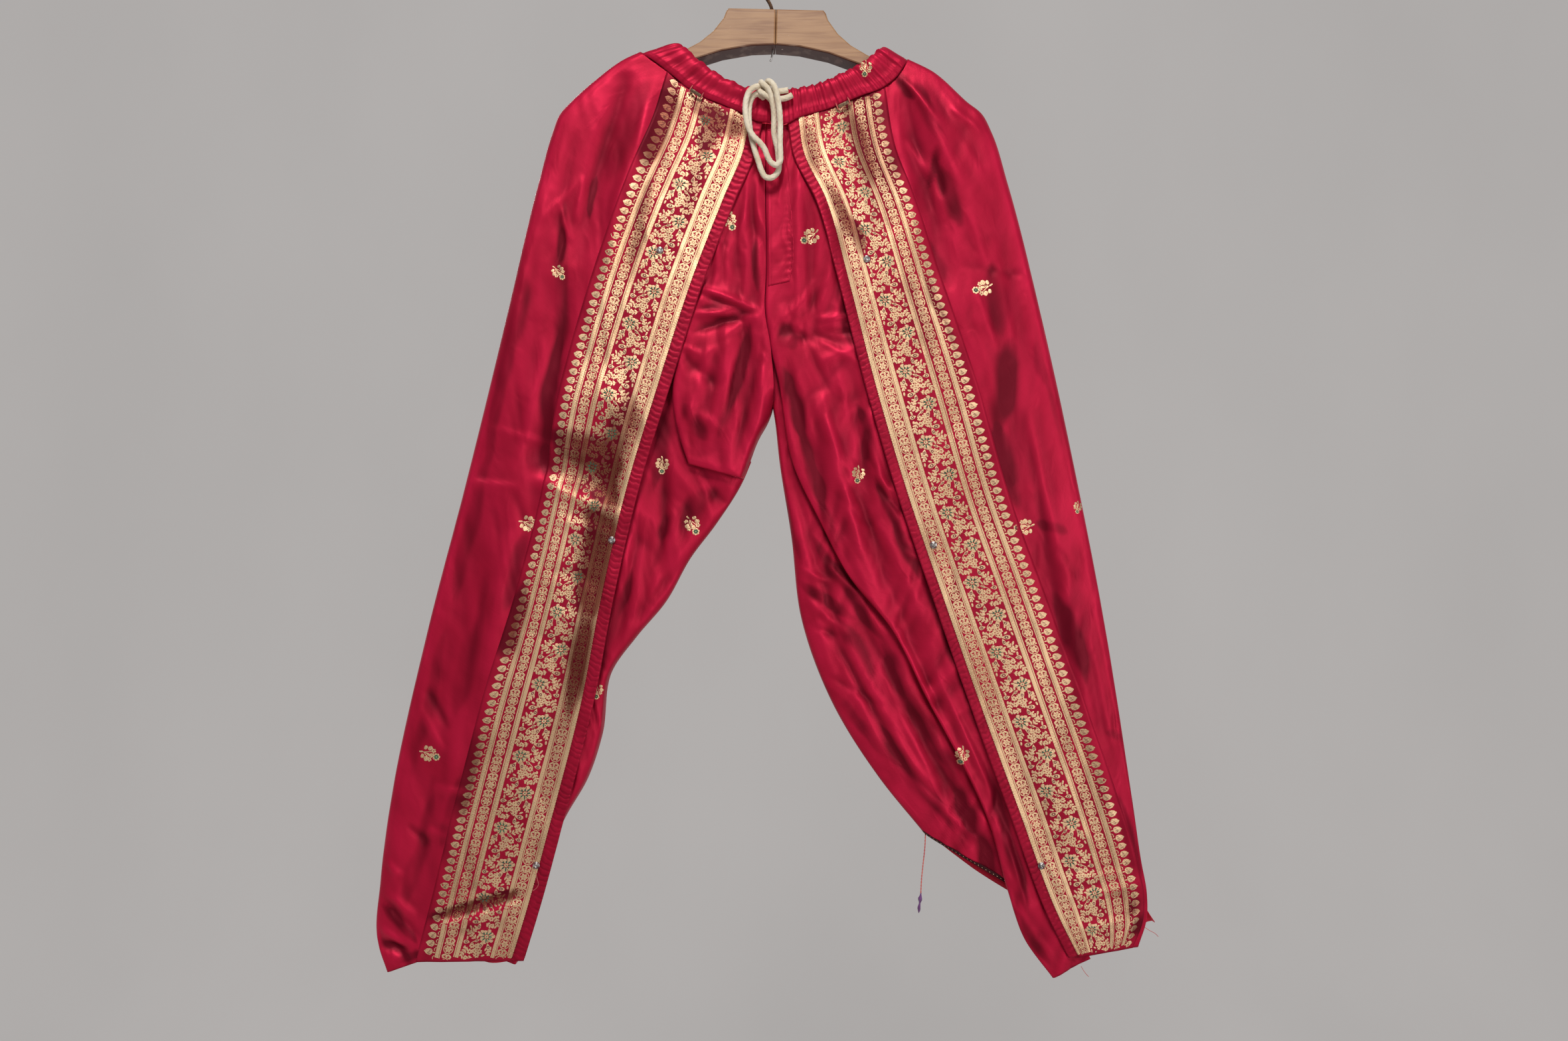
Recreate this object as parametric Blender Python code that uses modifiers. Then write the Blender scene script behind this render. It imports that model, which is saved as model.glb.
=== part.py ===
"""Dhoti pants of crimson silk with woven gold bands, hung by the waist on a wooden hanger.

Run with: blender --background --python part.py
Units are metres in Blender; the tables below are in millimetres.
Frame: origin at the inside of the hook's bend, where it hangs on a rail. +Z is up, +X to the right of
someone looking at the front, and the front faces -Y. Left and right are as that person sees them.

Each piece of cloth is a loft between its left and right edges, which are smooth curves through a few
measured points. `depth` is how far the cloth stands in front of (or behind) the hanger's middle plane,
and the column and row tables turn its margins in, so that side folds, tucked folds and rolled edges
come from the same few numbers. Solidify gives the surface its wall.
"""

import math

import bmesh
import bpy
import numpy as np
from mathutils import Matrix, Vector
from mathutils.bvhtree import BVHTree

MM = 0.001

# ---------------------------------------------------------------- driving sizes, millimetres
SILK = 1.2                # wall of the silk pieces
HEM = 1.8                 # wall of the folded plackets and hems
CASING = 1.5              # wall of the drawstring casing
SEAM = 0.3                # gap between pieces at a seam
SEAM_WALLS = 0.7          # the same, where the two walls lean towards each other
SEAM_WAIST = 1.5          # the same, between the casing and the panels that hang from it
LAID_ON = 1.1             # clearance under a piece laid on another
BAR_SEAM = 0.6            # clearance under a hook bar, which crosses the casing's gathers
FLY_WALL = 1.1            # wall of the fly placket
SIDE_GAP = 0.8            # gap between front and back where they meet at a side fold
PLACKET_LEFT = 13.0       # width of the narrow hem along the left band's free edge
PLACKET_RIGHT = 11.0
CORD = 6.0                # drawstring
THREAD = 1.4              # loose thread at the drape's hem
WIRE = 3.6                # hanger hook
HANGER_THICK = 28.0
HANGER_TILT = math.radians(1.3)
HANGER_EDGE = 1.6         # rounding of the hanger's edges
HANGER_EDGE_GAP = 0.15    # half the glue line between its halves
ROWS = 20                 # lengthwise divisions of a long panel
ROW_SHARES = np.linspace(0, 1, ROWS + 1) ** 1.12
BAND_ROWS = [(share, 1.0) for share in ROW_SHARES * 0.9945]
PANEL_ROWS = BAND_ROWS + [(1.0, 1.0)]
BAND_HEM_ROWS = [(0.9955, 1.0), (1.0, 1.0)]
DRAPE_ROWS = [(share, 1.0) for share in np.linspace(0, 0.9895, 17)]
DRAPE_HEM_ROWS = [(0.9935, 1.0), (1.0, 1.0)]
CASING_DEPTH = 23.9       # middle of the casing's gathers
GATHER = 1.8              # half height of a gather in the casing

# ---------------------------------------------------------------- outlines, (x, z) in millimetres
SIDE_LEFT = [
    (-142, -109), (-159, -116), (-189, -137), (-212, -157), (-225, -171), (-232, -189),
    (-246, -240), (-279, -380), (-320, -547), (-363, -713), (-399, -880), (-410, -963),
    (-413, -1028), (-403, -1058),
]
SIDE_RIGHT = [
    (137, -115), (163, -127), (199, -158), (214, -170), (224, -189), (240, -240),
    (275, -380), (311, -547), (342, -713), (367, -880), (376, -942),
]
SIDE_RIGHT_FRONT_END = [(382, -975), (382, -1002), (374, -1030)]
SIDE_RIGHT_BACK_END = [(385, -984), (396, -1011)]
INNER_LEFT = [   # from the crotch down the inside of the left leg
    (-8, -489), (-17, -505), (-34, -548), (-62, -594), (-89, -630), (-115, -676), (-146, -713),
    (-171, -748), (-182, -817), (-196, -859), (-220, -901), (-240, -944), (-250, -1005),
    (-263, -1029), (-270, -1052),
]
INNER_RIGHT = [  # from the crotch down the free fall of the right leg's drape
    (-1, -489), (3, -526), (16, -609), (26, -692), (56, -776), (107, -859), (154, -917),
]
CENTRE_BACK = [(0, -170), (0, -300), (-2, -430), (-3, -462), (-3, -474)]
CENTRE_FRONT = [(-11, -176), (-11, -255), (-10, -330), (-11, -377), (-5, -415)]
BAND_LEFT_OUT = [
    (-112, -128), (-128, -180), (-151, -234), (-172, -289), (-190, -343), (-221, -452),
    (-241, -561), (-268, -670), (-302, -779), (-331, -888), (-359, -997), (-371, -1046),
]
BAND_LEFT_IN = [
    (-27, -166), (-34, -207), (-55, -262), (-86, -343), (-121, -452), (-154, -561), (-179, -670),
    (-200, -779), (-228, -888), (-258, -997), (-273, -1045),
]
BAND_RIGHT_OUT = [
    (112, -140), (123, -207), (144, -262), (170, -343), (206, -452), (237, -561), (277, -670),
    (316, -779), (354, -888), (370, -942), (378, -975), (377, -1003), (367, -1031),
]
BAND_RIGHT_IN = [
    (23, -170), (28, -207), (52, -262), (74, -343), (102, -452), (134, -561), (171, -670),
    (209, -779), (249, -888), (290, -997), (312, -1041),
]
FLY_LEFT = [(-8.5, -188), (-8.5, -260), (-8, -330), (-8, -350)]
FLY_RIGHT = [(8.5, -187), (12, -225), (16.5, -280), (18, -325), (14, -345)]
HEM_TURN_LEFT = [(293, -1036), (290.5, -1050), (289, -1061)]
HEM_TURN_RIGHT = [(322, -1034), (310, -1050), (293, -1061)]
SEAT_LEFT_HIDDEN = [   # under the left band, then down the pouch's fold
    (-45, -168), (-55, -207), (-70, -255), (-86, -310), (-96, -370), (-104, -430), (-106, -472),
    (-100, -503), (-90, -533),
]
LEG_LEFT_HIDDEN = [
    (-126, -462), (-150, -520), (-170, -600), (-188, -670), (-208, -779), (-236, -888),
    (-266, -997), (-281, -1048),
]
FOLD_RIGHT = [         # free fold of the right front below the centre seam
    (3, -450), (18, -534), (45, -591), (73, -645), (121, -706), (154, -772), (191, -841),
    (218, -899), (239, -973), (257, -1024), (286, -1064),
]
FRONT_RIGHT_HIDDEN = [
    (34, -178), (52, -233), (80, -285), (92, -343), (116, -452), (150, -561), (186, -670),
    (224, -779), (262, -888), (302, -997), (325, -1044),
]
DRAPE_HIDDEN = [
    (26, -476), (48, -540), (76, -595), (108, -650), (152, -712), (184, -775), (215, -835),
    (243, -900), (262, -950), (268, -985),
]
CASING_LEFT_TOP = [
    (-3, -149), (-26, -147), (-42, -142), (-58, -134), (-71, -125), (-86, -113), (-95, -104),
    (-105, -97),
]
CASING_LEFT_BOTTOM = [
    (-6, -183), (-20, -181), (-34, -173), (-52, -165), (-72, -157), (-90, -147), (-112, -129),
    (-128, -117), (-142, -108),
]
CASING_RIGHT_TOP = [
    (3, -149), (17, -148), (45, -142), (66, -133), (82, -125), (98, -115), (106, -107), (113, -101),
]
CASING_RIGHT_BOTTOM = [
    (2, -185), (12, -183), (24, -177), (54, -168), (89, -154), (110, -146), (124, -135),
    (131, -125), (137, -114),
]
CASING_BACK_TOP = [
    (-105, -97), (-94, -108), (-70, -129), (-40, -147), (0, -155), (40, -149), (70, -136),
    (98, -117), (113, -101),
]
CASING_BACK_BOTTOM = [
    (-142, -108), (-126, -120), (-88, -151), (-45, -177), (0, -188), (45, -180), (90, -158),
    (122, -133), (137, -114),
]
WAIST_FRONT = CASING_LEFT_BOTTOM[::-1] + CASING_RIGHT_BOTTOM
WAIST_BACK = CASING_BACK_BOTTOM
HEM_BACK_LEFT = [(-403, -1058), (-371, -1050), (-330, -1052), (-290, -1058), (-270, -1052)]
HEM_BACK_RIGHT = [(154, -917), (213, -962), (252, -986), (314, -1020), (370, -1024), (396, -1011)]

# ---------------------------------------------------------------- depths, (share of length, mm)
FRONT_DEPTH_LEFT = [(0.0, 20), (0.08, 23), (0.3, 25), (0.6, 26), (0.85, 23), (1.0, 18)]
FRONT_DEPTH_RIGHT = [(0.0, 20), (0.08, 23), (0.3, 26), (0.6, 28), (0.85, 25), (1.0, 19)]
SEAT_DEPTH = [(0.0, 15.5), (0.15, 18.5), (0.5, 20.5), (0.8, 22.5), (1.0, 22)]
FRONT_RIGHT_DEPTH = [(0.0, 15.5), (0.08, 18.5), (0.3, 21.5), (0.6, 22.5), (0.85, 20), (1.0, 14)]
LEG_LEFT_DEPTH = [(0.0, 7), (0.1, 10), (0.25, 14.5), (0.5, 17), (0.8, 15), (1.0, 11)]
DRAPE_DEPTH = [(0.0, 8), (0.2, 11), (0.6, 12), (1.0, 9)]
HEM_TURN_DEPTH = [(0.0, 8.6), (1.0, 8.9)]
BACK_DEPTH = [(0.0, 19.5), (0.1, 21), (0.4, 20), (0.8, 17), (1.0, 13)]

# ---------------------------------------------------------------- margins, (across, share of depth)
BACK_FOLD = [(0.0, 0.0), (0.002, 0.3), (0.007, 0.64), (0.03, 0.9), (0.1, 0.98)]
SIDE_FOLD = [(0.0, 0.0), (0.004, 0.3), (0.016, 0.6), (0.055, 0.86), (0.14, 0.97)]
TUCK = [(0.14, 0.68), (0.05, 0.70), (0.0, 0.80), (0.0, 0.90), (0.03, 0.985)]
FLY_COLUMNS = [(0.12, 1.0), (0.24, 1.0), (0.37, 1.0)]
POUCH_ROWS = [(0.99, 0.97), (1.0, 0.88), (0.995, 0.75), (0.965, 0.68), (0.935, 0.66)]
CASING_END = [(0.93, 0.99), (0.965, 0.88), (0.99, 0.62), (0.998, 0.3), (1.0, 0.0)]
CASING_ROWS = [(0.2, 0.79, 0.05), (-0.015, 0.82, 0.04), (-0.03, 0.92, 0.012), (0.05, 1.0, 0.0),
               (0.6, 1.0, 0.0), (1.0, 0.94, 0.0)]

# ---------------------------------------------------------------- folds
# x0, z0 to x1, z1 is the fold's line, `half` its half width and `rise` its height towards the viewer
FOLDS_SIDE_LEFT = [
    (-150, -130, -215, -330, 16, -4.0), (-130, -160, -190, -420, 12, 3.0),
    (-240, -230, -285, -520, 14, 3.5), (-215, -330, -255, -640, 13, -5.0),
    (-300, -560, -345, -800, 18, -4.0), (-275, -600, -300, -820, 12, 3.5),
    (-375, -850, -400, -1020, 12, 3.0), (-340, -900, -372, -1010, 14, -4.0),
    (-414, -1026, -366, -1036, 5, -4.0),
]
FOLDS_BAND_LEFT = [
    (-165, -470, -215, -690, 22, -5.0), (-110, -150, -125, -260, 12, -3.0),
    (-205, -690, -240, -900, 14, -3.0), (-345, -1002, -262, -975, 7, -3.5),
]
FOLDS_SIDE_RIGHT = [
    (140, -135, 215, -300, 16, 3.5), (125, -150, 180, -360, 13, -4.0),
    (225, -230, 262, -470, 14, -3.5), (190, -330, 245, -600, 13, 3.5),
    (280, -560, 325, -860, 12, 3.5), (262, -560, 300, -760, 12, -4.0),
    (330, -800, 362, -960, 8, 2.5),
]
FOLDS_BAND_RIGHT = [
    (40, -250, 80, -420, 9, 4.5), (75, -150, 118, -300, 12, -3.5),
    (230, -790, 300, -960, 14, -2.5), (300, -985, 378, -960, 8, 3.0),
]
FOLDS_SEAT_LEFT = [
    (-80, -395, -20, -372, 7, -3.0), (-95, -420, -60, -455, 6, -2.5), (-12, -390, -60, -350, 8, 2.5),
    (-45, -390, -60, -520, 9, 3.0), (-20, -400, -78, -535, 10, -3.0), (-5, -430, -30, -530, 7, 3.0),
    (-32, -190, -36, -330, 6, 2.0), (-22, -240, -24, -380, 5, -2.0),
]
FOLDS_FRONT_RIGHT = [
    (22, -190, 26, -400, 6, 2.5), (34, -250, 40, -420, 6, -2.5), (2, -395, 70, -408, 6, -2.5),
    (40, -430, 96, -410, 6, 2.5), (10, -420, 60, -600, 8, -3.0), (40, -460, 110, -690, 9, 3.5),
    (78, -430, 100, -640, 8, -3.5), (95, -600, 190, -840, 9, -4.0), (115, -690, 215, -900, 8, 3.5),
    (150, -640, 185, -740, 8, -2.5), (205, -800, 262, -990, 6, -3.0),
]
FOLDS_LEG_LEFT = [
    (-128, -500, -180, -740, 7, 3.5), (-115, -520, -118, -660, 6, -3.5), (-95, -560, -140, -705, 8, 3.0),
    (-70, -560, -45, -575, 8, -3.0), (-90, -630, -150, -700, 7, -3.0), (-190, -780, -215, -900, 7, 3.0),
]
FOLDS_DRAPE = [
    (12, -560, 60, -730, 7, 3.0), (25, -640, 110, -820, 8, -3.0), (60, -700, 170, -890, 7, 3.0),
    (80, -690, 205, -900, 8, -3.0), (120, -740, 235, -930, 7, 3.0), (50, -780, 130, -880, 8, -2.5),
]
FOLDS_BACK_LEFT = [
    (-60, -200, -120, -420, 14, 4.0), (-100, -190, -190, -420, 13, -4.0), (-30, -200, -40, -400, 12, -3.5),
    (-150, -200, -240, -430, 13, 4.0), (-60, -470, -200, -700, 16, -4.0), (-110, -480, -250, -760, 15, 4.5),
    (-190, -520, -300, -860, 16, -4.0), (-250, -700, -350, -980, 15, 4.0), (-220, -820, -300, -1010, 13, -3.5),
]
FOLDS_BACK_RIGHT = [
    (60, -200, 110, -420, 14, 4.0), (100, -190, 180, -420, 13, -4.0), (28, -210, 36, -400, 12, -3.5),
    (150, -200, 225, -430, 13, 4.0), (40, -500, 130, -760, 15, 4.5), (80, -470, 200, -780, 15, -4.5),
    (130, -470, 260, -840, 15, 4.5), (190, -500, 310, -900, 15, -4.0), (90, -760, 200, -930, 12, -3.5),
    (230, -780, 340, -990, 13, 4.0),
]

# ---------------------------------------------------------------- trims
SNAPS_LEFT = [(-119, -314), (-168, -611), (-246, -945)]
SNAPS_RIGHT = [(93, -323), (161, -616), (272, -945)]
SNAP_PROFILE = [(0, 2.1), (1.2, 2.1), (2.3, 1.8), (2.9, 0.9), (4.4, 0.6), (4.6, 0), (0, 0)]
HOOK_BAR_LEFT = (-82, -152.5, -34)    # x, z and slope in degrees
HOOK_BAR_RIGHT = (69, -164, 27)
HOOK_BAR_HIGH = 4.2
HOOK_BAR_OUTLINE = [                  # the raised bar between its two sewn feet, seen from the edge
    (-8.5, 0), (-8.5, 0.8), (-6.2, 0.8), (-6.2, 2.0), (6.2, 2.0), (6.2, 0.8), (8.5, 0.8), (8.5, 0),
    (5.4, 0), (5.4, 1.2), (-5.4, 1.2), (-5.4, 0),
]

# ---------------------------------------------------------------- drawstring and thread, x, y, z
LOOP_FRONT = [
    (-19, -36, -150.2), (-26.3, -37.5, -155), (-29.8, -38, -163.2), (-31, -38, -172.5),
    (-30.2, -38, -182.5), (-27.5, -38, -193.4), (-22.4, -38, -202), (-16.2, -38, -208),
    (-11.6, -38, -214.3), (-8.5, -38, -222), (-4.6, -38, -228.3), (0, -38, -230.6), (3.9, -38, -227.5),
    (4.5, -38, -219.7), (4.1, -38, -209.7), (4.3, -38, -198), (4.3, -38, -186.4), (3.5, -38.3, -174.8),
    (1.6, -39.3, -163.2), (-0.2, -40.2, -155.4), (-2.8, -39.7, -149.6), (-8.5, -33.5, -144.4),
]
LOOP_BACK = [
    (-18.7, -31.5, -156.3), (-22.4, -31.3, -157.7), (-25.9, -31.2, -163.2), (-27.5, -31.2, -172.5),
    (-27.5, -31.2, -182.5), (-26.3, -31.2, -193.4), (-24, -31.2, -204.2), (-21.3, -31.2, -214.3),
    (-17.8, -31.2, -225.2), (-14.7, -31.2, -234.5), (-10.8, -31.2, -240.7), (-5.4, -31.2, -241.8),
    (-0.7, -31.2, -239.1), (2.4, -31.2, -234.5), (3, -31.2, -227.5), (2.4, -31.2, -219.7),
    (1.6, -31.2, -212), (-0.4, -31.2, -204.2), (-1.9, -31.2, -196.5), (-1.9, -31.2, -186.4),
    (-2.1, -32, -174.8), (-3.8, -34.5, -165.5), (-6.2, -37.2, -157), (-9.6, -39.1, -151.9),
    (-13.1, -38.1, -148.6),
]
END_UPPER = [(-4.4, -29.5, -153.3), (2, -29.6, -153.1), (8, -29.8, -152.5), (12.5, -30, -151.8)]
END_LOWER = [(-4.6, -29.6, -160.6), (2, -30, -161), (8, -30.3, -160.6), (13, -30.3, -159), (16.5, -30.3, -157)]
KNOT_AT = (-11.5, -30.9, -156.5)
KNOT_RADII = (5.4, 5.0, 6.2)
THREAD_ROUTE = [
    (155.6, -3.6, -917.9), (155, -3.2, -932), (153.2, -2.4, -950), (151.8, -1.6, -965),
    (151, -1.4, -980.5),
]
THREAD_KNOT_AT = (149.6, -1.4, -991.5)
THREAD_KNOT_RADII = (2.6, 1.8, 10.5)

# ---------------------------------------------------------------- hanger, half outline, x and z
HANGER_TOP = [
    (0, -62), (49, -62), (51.5, -65), (54, -72), (64.5, -86), (78, -97.5), (95, -107), (112, -113.5),
    (130, -119.5), (148, -126), (166, -134.5), (184, -147), (200, -161), (209, -170.5),
]
HANGER_BOTTOM = [
    (211.5, -175), (209.5, -179.5), (205, -180), (199, -176), (184, -163.5), (166, -150.5), (148, -141.5),
    (130, -134), (112, -127.5), (85, -116.5), (55.5, -106.5), (25, -100.5), (0, -99),
]
HANGER_PIVOT = (-0.4, -80.0)
WIRE_ROUTE = [
    (-3.3, 0, -77), (-3.3, 0, -70), (-3.4, 0, -63), (-5.6, 0, -53), (-12, 0, -42), (-18.6, 0, -30), (-20.8, 0, -19),
    (-18, 0, -8.4), (-10.4, 0, -0.8), (0, 0, 1.8), (10.4, 0, -0.8), (18, 0, -8.4), (20.8, 0, -19),
    (18.6, 0, -28.5),
]
PIN = 2.0                 # end of the nail that holds the hook, below the block
PIN_ROUTE = [(-3.3, 0, -86), (-3.3, 0, -94), (-3.4, 0, -100), (-4.4, 0, -106), (-6, 0, -111)]
BORE_CLEARANCE = 0.5


# ---------------------------------------------------------------- helpers
def material(name, colour, roughness, metallic=0.0):
    """A Principled material of one colour, shared by the pieces of one cloth."""
    made = bpy.data.materials.get(name) or bpy.data.materials.new(name)
    made.use_nodes = True
    shader = made.node_tree.nodes["Principled BSDF"]
    shader.inputs["Base Color"].default_value = (*colour, 1.0)
    shader.inputs["Roughness"].default_value = roughness
    shader.inputs["Metallic"].default_value = metallic
    return made


def smooth_curve(points, shares):
    """Points at the given shares of the length of the smooth curve through the points of a table."""
    knots = np.array(points, float)
    chord = np.concatenate([[0], np.cumsum(np.linalg.norm(np.diff(knots, axis=0), axis=1))])
    slope = np.gradient(knots, chord, axis=0)
    fine = np.linspace(0, chord[-1], 600)
    i = np.clip(np.searchsorted(chord, fine, side="right") - 1, 0, len(chord) - 2)
    step = (chord[i + 1] - chord[i])[:, None]
    t = (fine - chord[i])[:, None] / step
    line = (
        (2 * t**3 - 3 * t**2 + 1) * knots[i]
        + (t**3 - 2 * t**2 + t) * step * slope[i]
        + (3 * t**2 - 2 * t**3) * knots[i + 1]
        + (t**3 - t**2) * step * slope[i + 1]
    )
    along = np.concatenate([[0], np.cumsum(np.linalg.norm(np.diff(line, axis=0), axis=1))])
    at = np.asarray(shares, float) * along[-1]
    return np.stack([np.interp(at, along, line[:, k]) for k in range(line.shape[1])], axis=1)


def table_at(table, at):
    """A table of (position, value) rows read at the given positions."""
    places, values = zip(*table)
    return np.interp(at, places, values)


def height_at(table, x):
    """The z of the smooth curve through a table of (x, z) that runs from left to right."""
    line = smooth_curve(sorted(table), np.linspace(0, 1, 200))
    return np.interp(x, line[:, 0], line[:, 1])


def mirrored(columns):
    """A margin table turned round, for the other edge of a panel."""
    return [(1 - across, share) for across, share in reversed(columns)]


def even(first, last, count):
    """Rows or columns of full depth, evenly spaced."""
    return [(share, 1.0) for share in np.linspace(first, last, count)]


def inset(edge, by):
    """An edge table moved sideways, to leave the gap of a seam or to widen a hem."""
    return [(x + by, z) for x, z in edge]


def fold_rise(x, z, folds):
    """How far a table of folds lifts the cloth at each (x, z): a soft ridge or trough along each line."""
    rise = np.zeros_like(x)
    for x0, z0, x1, z1, half, height in folds:
        along = np.array([x1 - x0, z1 - z0], float)
        length = np.hypot(*along)
        along /= length
        t = ((x - x0) * along[0] + (z - z0) * along[1]) / length
        off = (x - x0) * along[1] - (z - z0) * along[0]
        fade = np.clip(1 - np.abs(2 * t - 1) ** 3, 0, 1)
        rise += height * fade * np.exp(-((off / half) ** 2))
    return rise


def new_object(name, mesh, finish):
    """A mesh as a named object in the garment's collection."""
    made = bpy.data.objects.new(name, mesh)
    mesh.materials.append(finish)
    garment.objects.link(made)
    return made


def grid_object(name, points, wall, finish):
    """A wall of cloth: the outer surface from a grid of points, given its thickness by Solidify."""
    rows, columns = points.shape[:2]
    index = np.arange(rows * columns).reshape(rows, columns)
    corners = [index[:-1, :-1], index[1:, :-1], index[1:, 1:], index[:-1, 1:]]
    faces = np.stack([corner.ravel() for corner in corners], axis=1)
    mesh = bpy.data.meshes.new(name)
    mesh.from_pydata((points.reshape(-1, 3) * MM).tolist(), [], faces.tolist())
    mesh.shade_smooth()
    made = new_object(name, mesh, finish)
    shell = made.modifiers.new("wall", "SOLIDIFY")
    shell.thickness = wall * MM
    shell.offset = -1
    return made


def cloth(name, left, right, columns, depth, finish, rows=None, folds=(), behind=False,
          seam_until=0.0, seam_columns=0, top=None, hem=None, hem_margin=0.12, wall=SILK):
    """A piece of cloth lofted between two edges.

    columns and rows hold (share across or down, share of the depth). With behind the cloth is at the
    back. The last seam_columns columns keep their full depth above seam_until, where the edge is a
    seam, and turn in below it, where the edge is a fold. The cloth near its top and its hem is drawn
    up or down to meet the curves `top` and `hem`.
    """
    rows = rows or [(share, 1.0) for share in ROW_SHARES]
    down = np.array([share for share, _ in rows])
    across = np.array([share for share, _ in columns])
    first, last = smooth_curve(left, down), smooth_curve(right, down)
    flat = first[:, None] + across[None, :, None] * (last - first)[:, None]
    x, z = flat[..., 0], flat[..., 1].copy()
    if top:
        z += (height_at(top, x[0]) - SEAM_WAIST - z[0]) * np.clip(1 - down / 0.15, 0, 1)[:, None] ** 2
    if hem:
        near = np.clip((down - 1 + hem_margin) / hem_margin, 0, 1)[:, None] ** 2
        z += (height_at(hem, x) - height_at([left[-1], right[-1]], x)) * near
    column_turn = np.tile([1 - share for _, share in columns], (len(rows), 1))
    if seam_columns:
        open_below = np.clip((down - seam_until) / 0.05, 0, 1)[:, None]
        edge = slice(len(columns) - seam_columns, None)
        column_turn[:, edge] *= open_below
    row_turn = np.array([1 - share for _, share in rows])[:, None]
    share = 1 - np.maximum(column_turn, row_turn) - 0.3 * np.maximum(np.minimum(column_turn, row_turn), 0)
    full = table_at(depth, down)[:, None]
    lift = fold_rise(x, z, folds) * np.clip(share, 0, 1) ** 2
    reach = np.maximum(full * share + lift, SIDE_GAP / 2)
    points = np.stack([x, reach if behind else -reach, z], axis=-1)
    return grid_object(name, points[:, ::-1] if behind else points, wall, finish)


def applique(name, host, left, right, across, down, finish, wall):
    """A piece sewn flat on another: a grid laid on its front from the viewer's side and moved out."""
    surface = surface_of(host)
    first, last = smooth_curve(left, np.linspace(0, 1, down)), smooth_curve(right, np.linspace(0, 1, down))
    flat = first[:, None] + np.linspace(0, 1, across)[None, :, None] * (last - first)[:, None]
    y = np.array([[on_front([surface], *place) for place in row] for row in flat])
    points = np.stack([flat[..., 0], y - wall - LAID_ON, flat[..., 1]], axis=-1)
    return grid_object(name, points, wall, finish)


def tube(name, route, diameter, finish, points=30, resolution=2):
    """A round cord or wire along the smooth curve through a route."""
    line = smooth_curve(route, np.linspace(0, 1, points))
    curve = bpy.data.curves.new(name, "CURVE")
    curve.dimensions = "3D"
    curve.bevel_depth = diameter / 2 * MM
    curve.bevel_resolution = resolution
    curve.use_fill_caps = True
    spline = curve.splines.new("POLY")
    spline.points.add(points - 1)
    for point, place in zip(spline.points, line):
        point.co = (*(place * MM), 1.0)
    curve.materials.append(finish)
    made = bpy.data.objects.new(name, curve)
    garment.objects.link(made)
    return made


def lump(name, at, radii, finish, rings=8, segments=12):
    """A rounded solid, such as a knot."""
    work = bmesh.new()
    bmesh.ops.create_uvsphere(work, u_segments=segments, v_segments=rings, radius=1.0)
    bmesh.ops.scale(work, vec=Vector(radii) * MM, verts=work.verts)
    mesh = bpy.data.meshes.new(name)
    work.to_mesh(mesh)
    work.free()
    mesh.shade_smooth()
    made = new_object(name, mesh, finish)
    made.location = Vector(at) * MM
    return made


def surface_of(made):
    """The evaluated surface of an object, to lay other pieces on."""
    bpy.context.view_layer.update()
    return BVHTree.FromObject(made, bpy.context.evaluated_depsgraph_get())


def on_front(surfaces, x, z):
    """The y, in millimetres, where a line from the viewer at (x, z) first meets a surface, or NaN."""
    found = []
    for surface in surfaces:
        point = surface.ray_cast(Vector((x * MM, -0.2, z * MM)), Vector((0, 1, 0)))[0]
        if point is not None:
            found.append(point.y / MM)
    return min(found, default=math.nan)


def resting_frame(surfaces, x, z, radius, gap):
    """A frame at (x, z) whose Z axis points away from the cloth under a small flat trim, clear of it by gap."""
    turn, out = np.meshgrid(np.linspace(0, 2 * math.pi, 24, endpoint=False), [0.4 * radius, 0.8 * radius, radius])
    around = np.stack([x + out * np.cos(turn), z + out * np.sin(turn)], axis=-1).reshape(-1, 2)
    depth = np.array([on_front(surfaces, *place) for place in around])
    around, depth = around[~np.isnan(depth)], depth[~np.isnan(depth)]
    offset = np.column_stack([around - [x, z], np.ones(len(around))])
    slope_x, slope_z, level = np.linalg.lstsq(offset, depth, rcond=None)[0]
    level -= np.max(offset @ [slope_x, slope_z, level] - depth) + gap
    outward = Vector((slope_x, -1, slope_z)).normalized()
    stand = outward.to_track_quat("Z", "Y").to_matrix().to_4x4()
    return Matrix.Translation(Vector((x, level, z)) * MM) @ stand


def turned(name, profile, frame, finish):
    """A small turned solid from (radius, height) pairs down its outer side, standing in a frame."""
    mesh = bpy.data.meshes.new(name)
    places = [(radius * MM, 0, height * MM) for radius, height in profile]
    mesh.from_pydata(places, [(k, k + 1) for k in range(len(places) - 1)], [])
    made = new_object(name, mesh, finish)
    made.matrix_world = frame
    lathe = made.modifiers.new("turn", "SCREW")
    lathe.steps = lathe.render_steps = 12
    lathe.use_merge_vertices = True
    lathe.merge_threshold = 0.00001
    return made


def flat_outline(name, outline, thickness, finish, edge=0.0):
    """A flat outline in the curve's XY plane, extruded both ways and rounded along its edges by edge."""
    curve = bpy.data.curves.new(name, "CURVE")
    curve.dimensions = "2D"
    curve.fill_mode = "BOTH"
    curve.extrude = (thickness / 2 - edge) * MM
    curve.bevel_depth = edge * MM
    curve.bevel_resolution = 1
    curve.offset = -edge * MM
    spline = curve.splines.new("POLY")
    spline.points.add(len(outline) - 1)
    for point, (x, y) in zip(spline.points, outline):
        point.co = (x * MM, y * MM, 0, 1)
    spline.use_cyclic_u = True
    curve.materials.append(finish)
    made = bpy.data.objects.new(name, curve)
    garment.objects.link(made)
    return made


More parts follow.
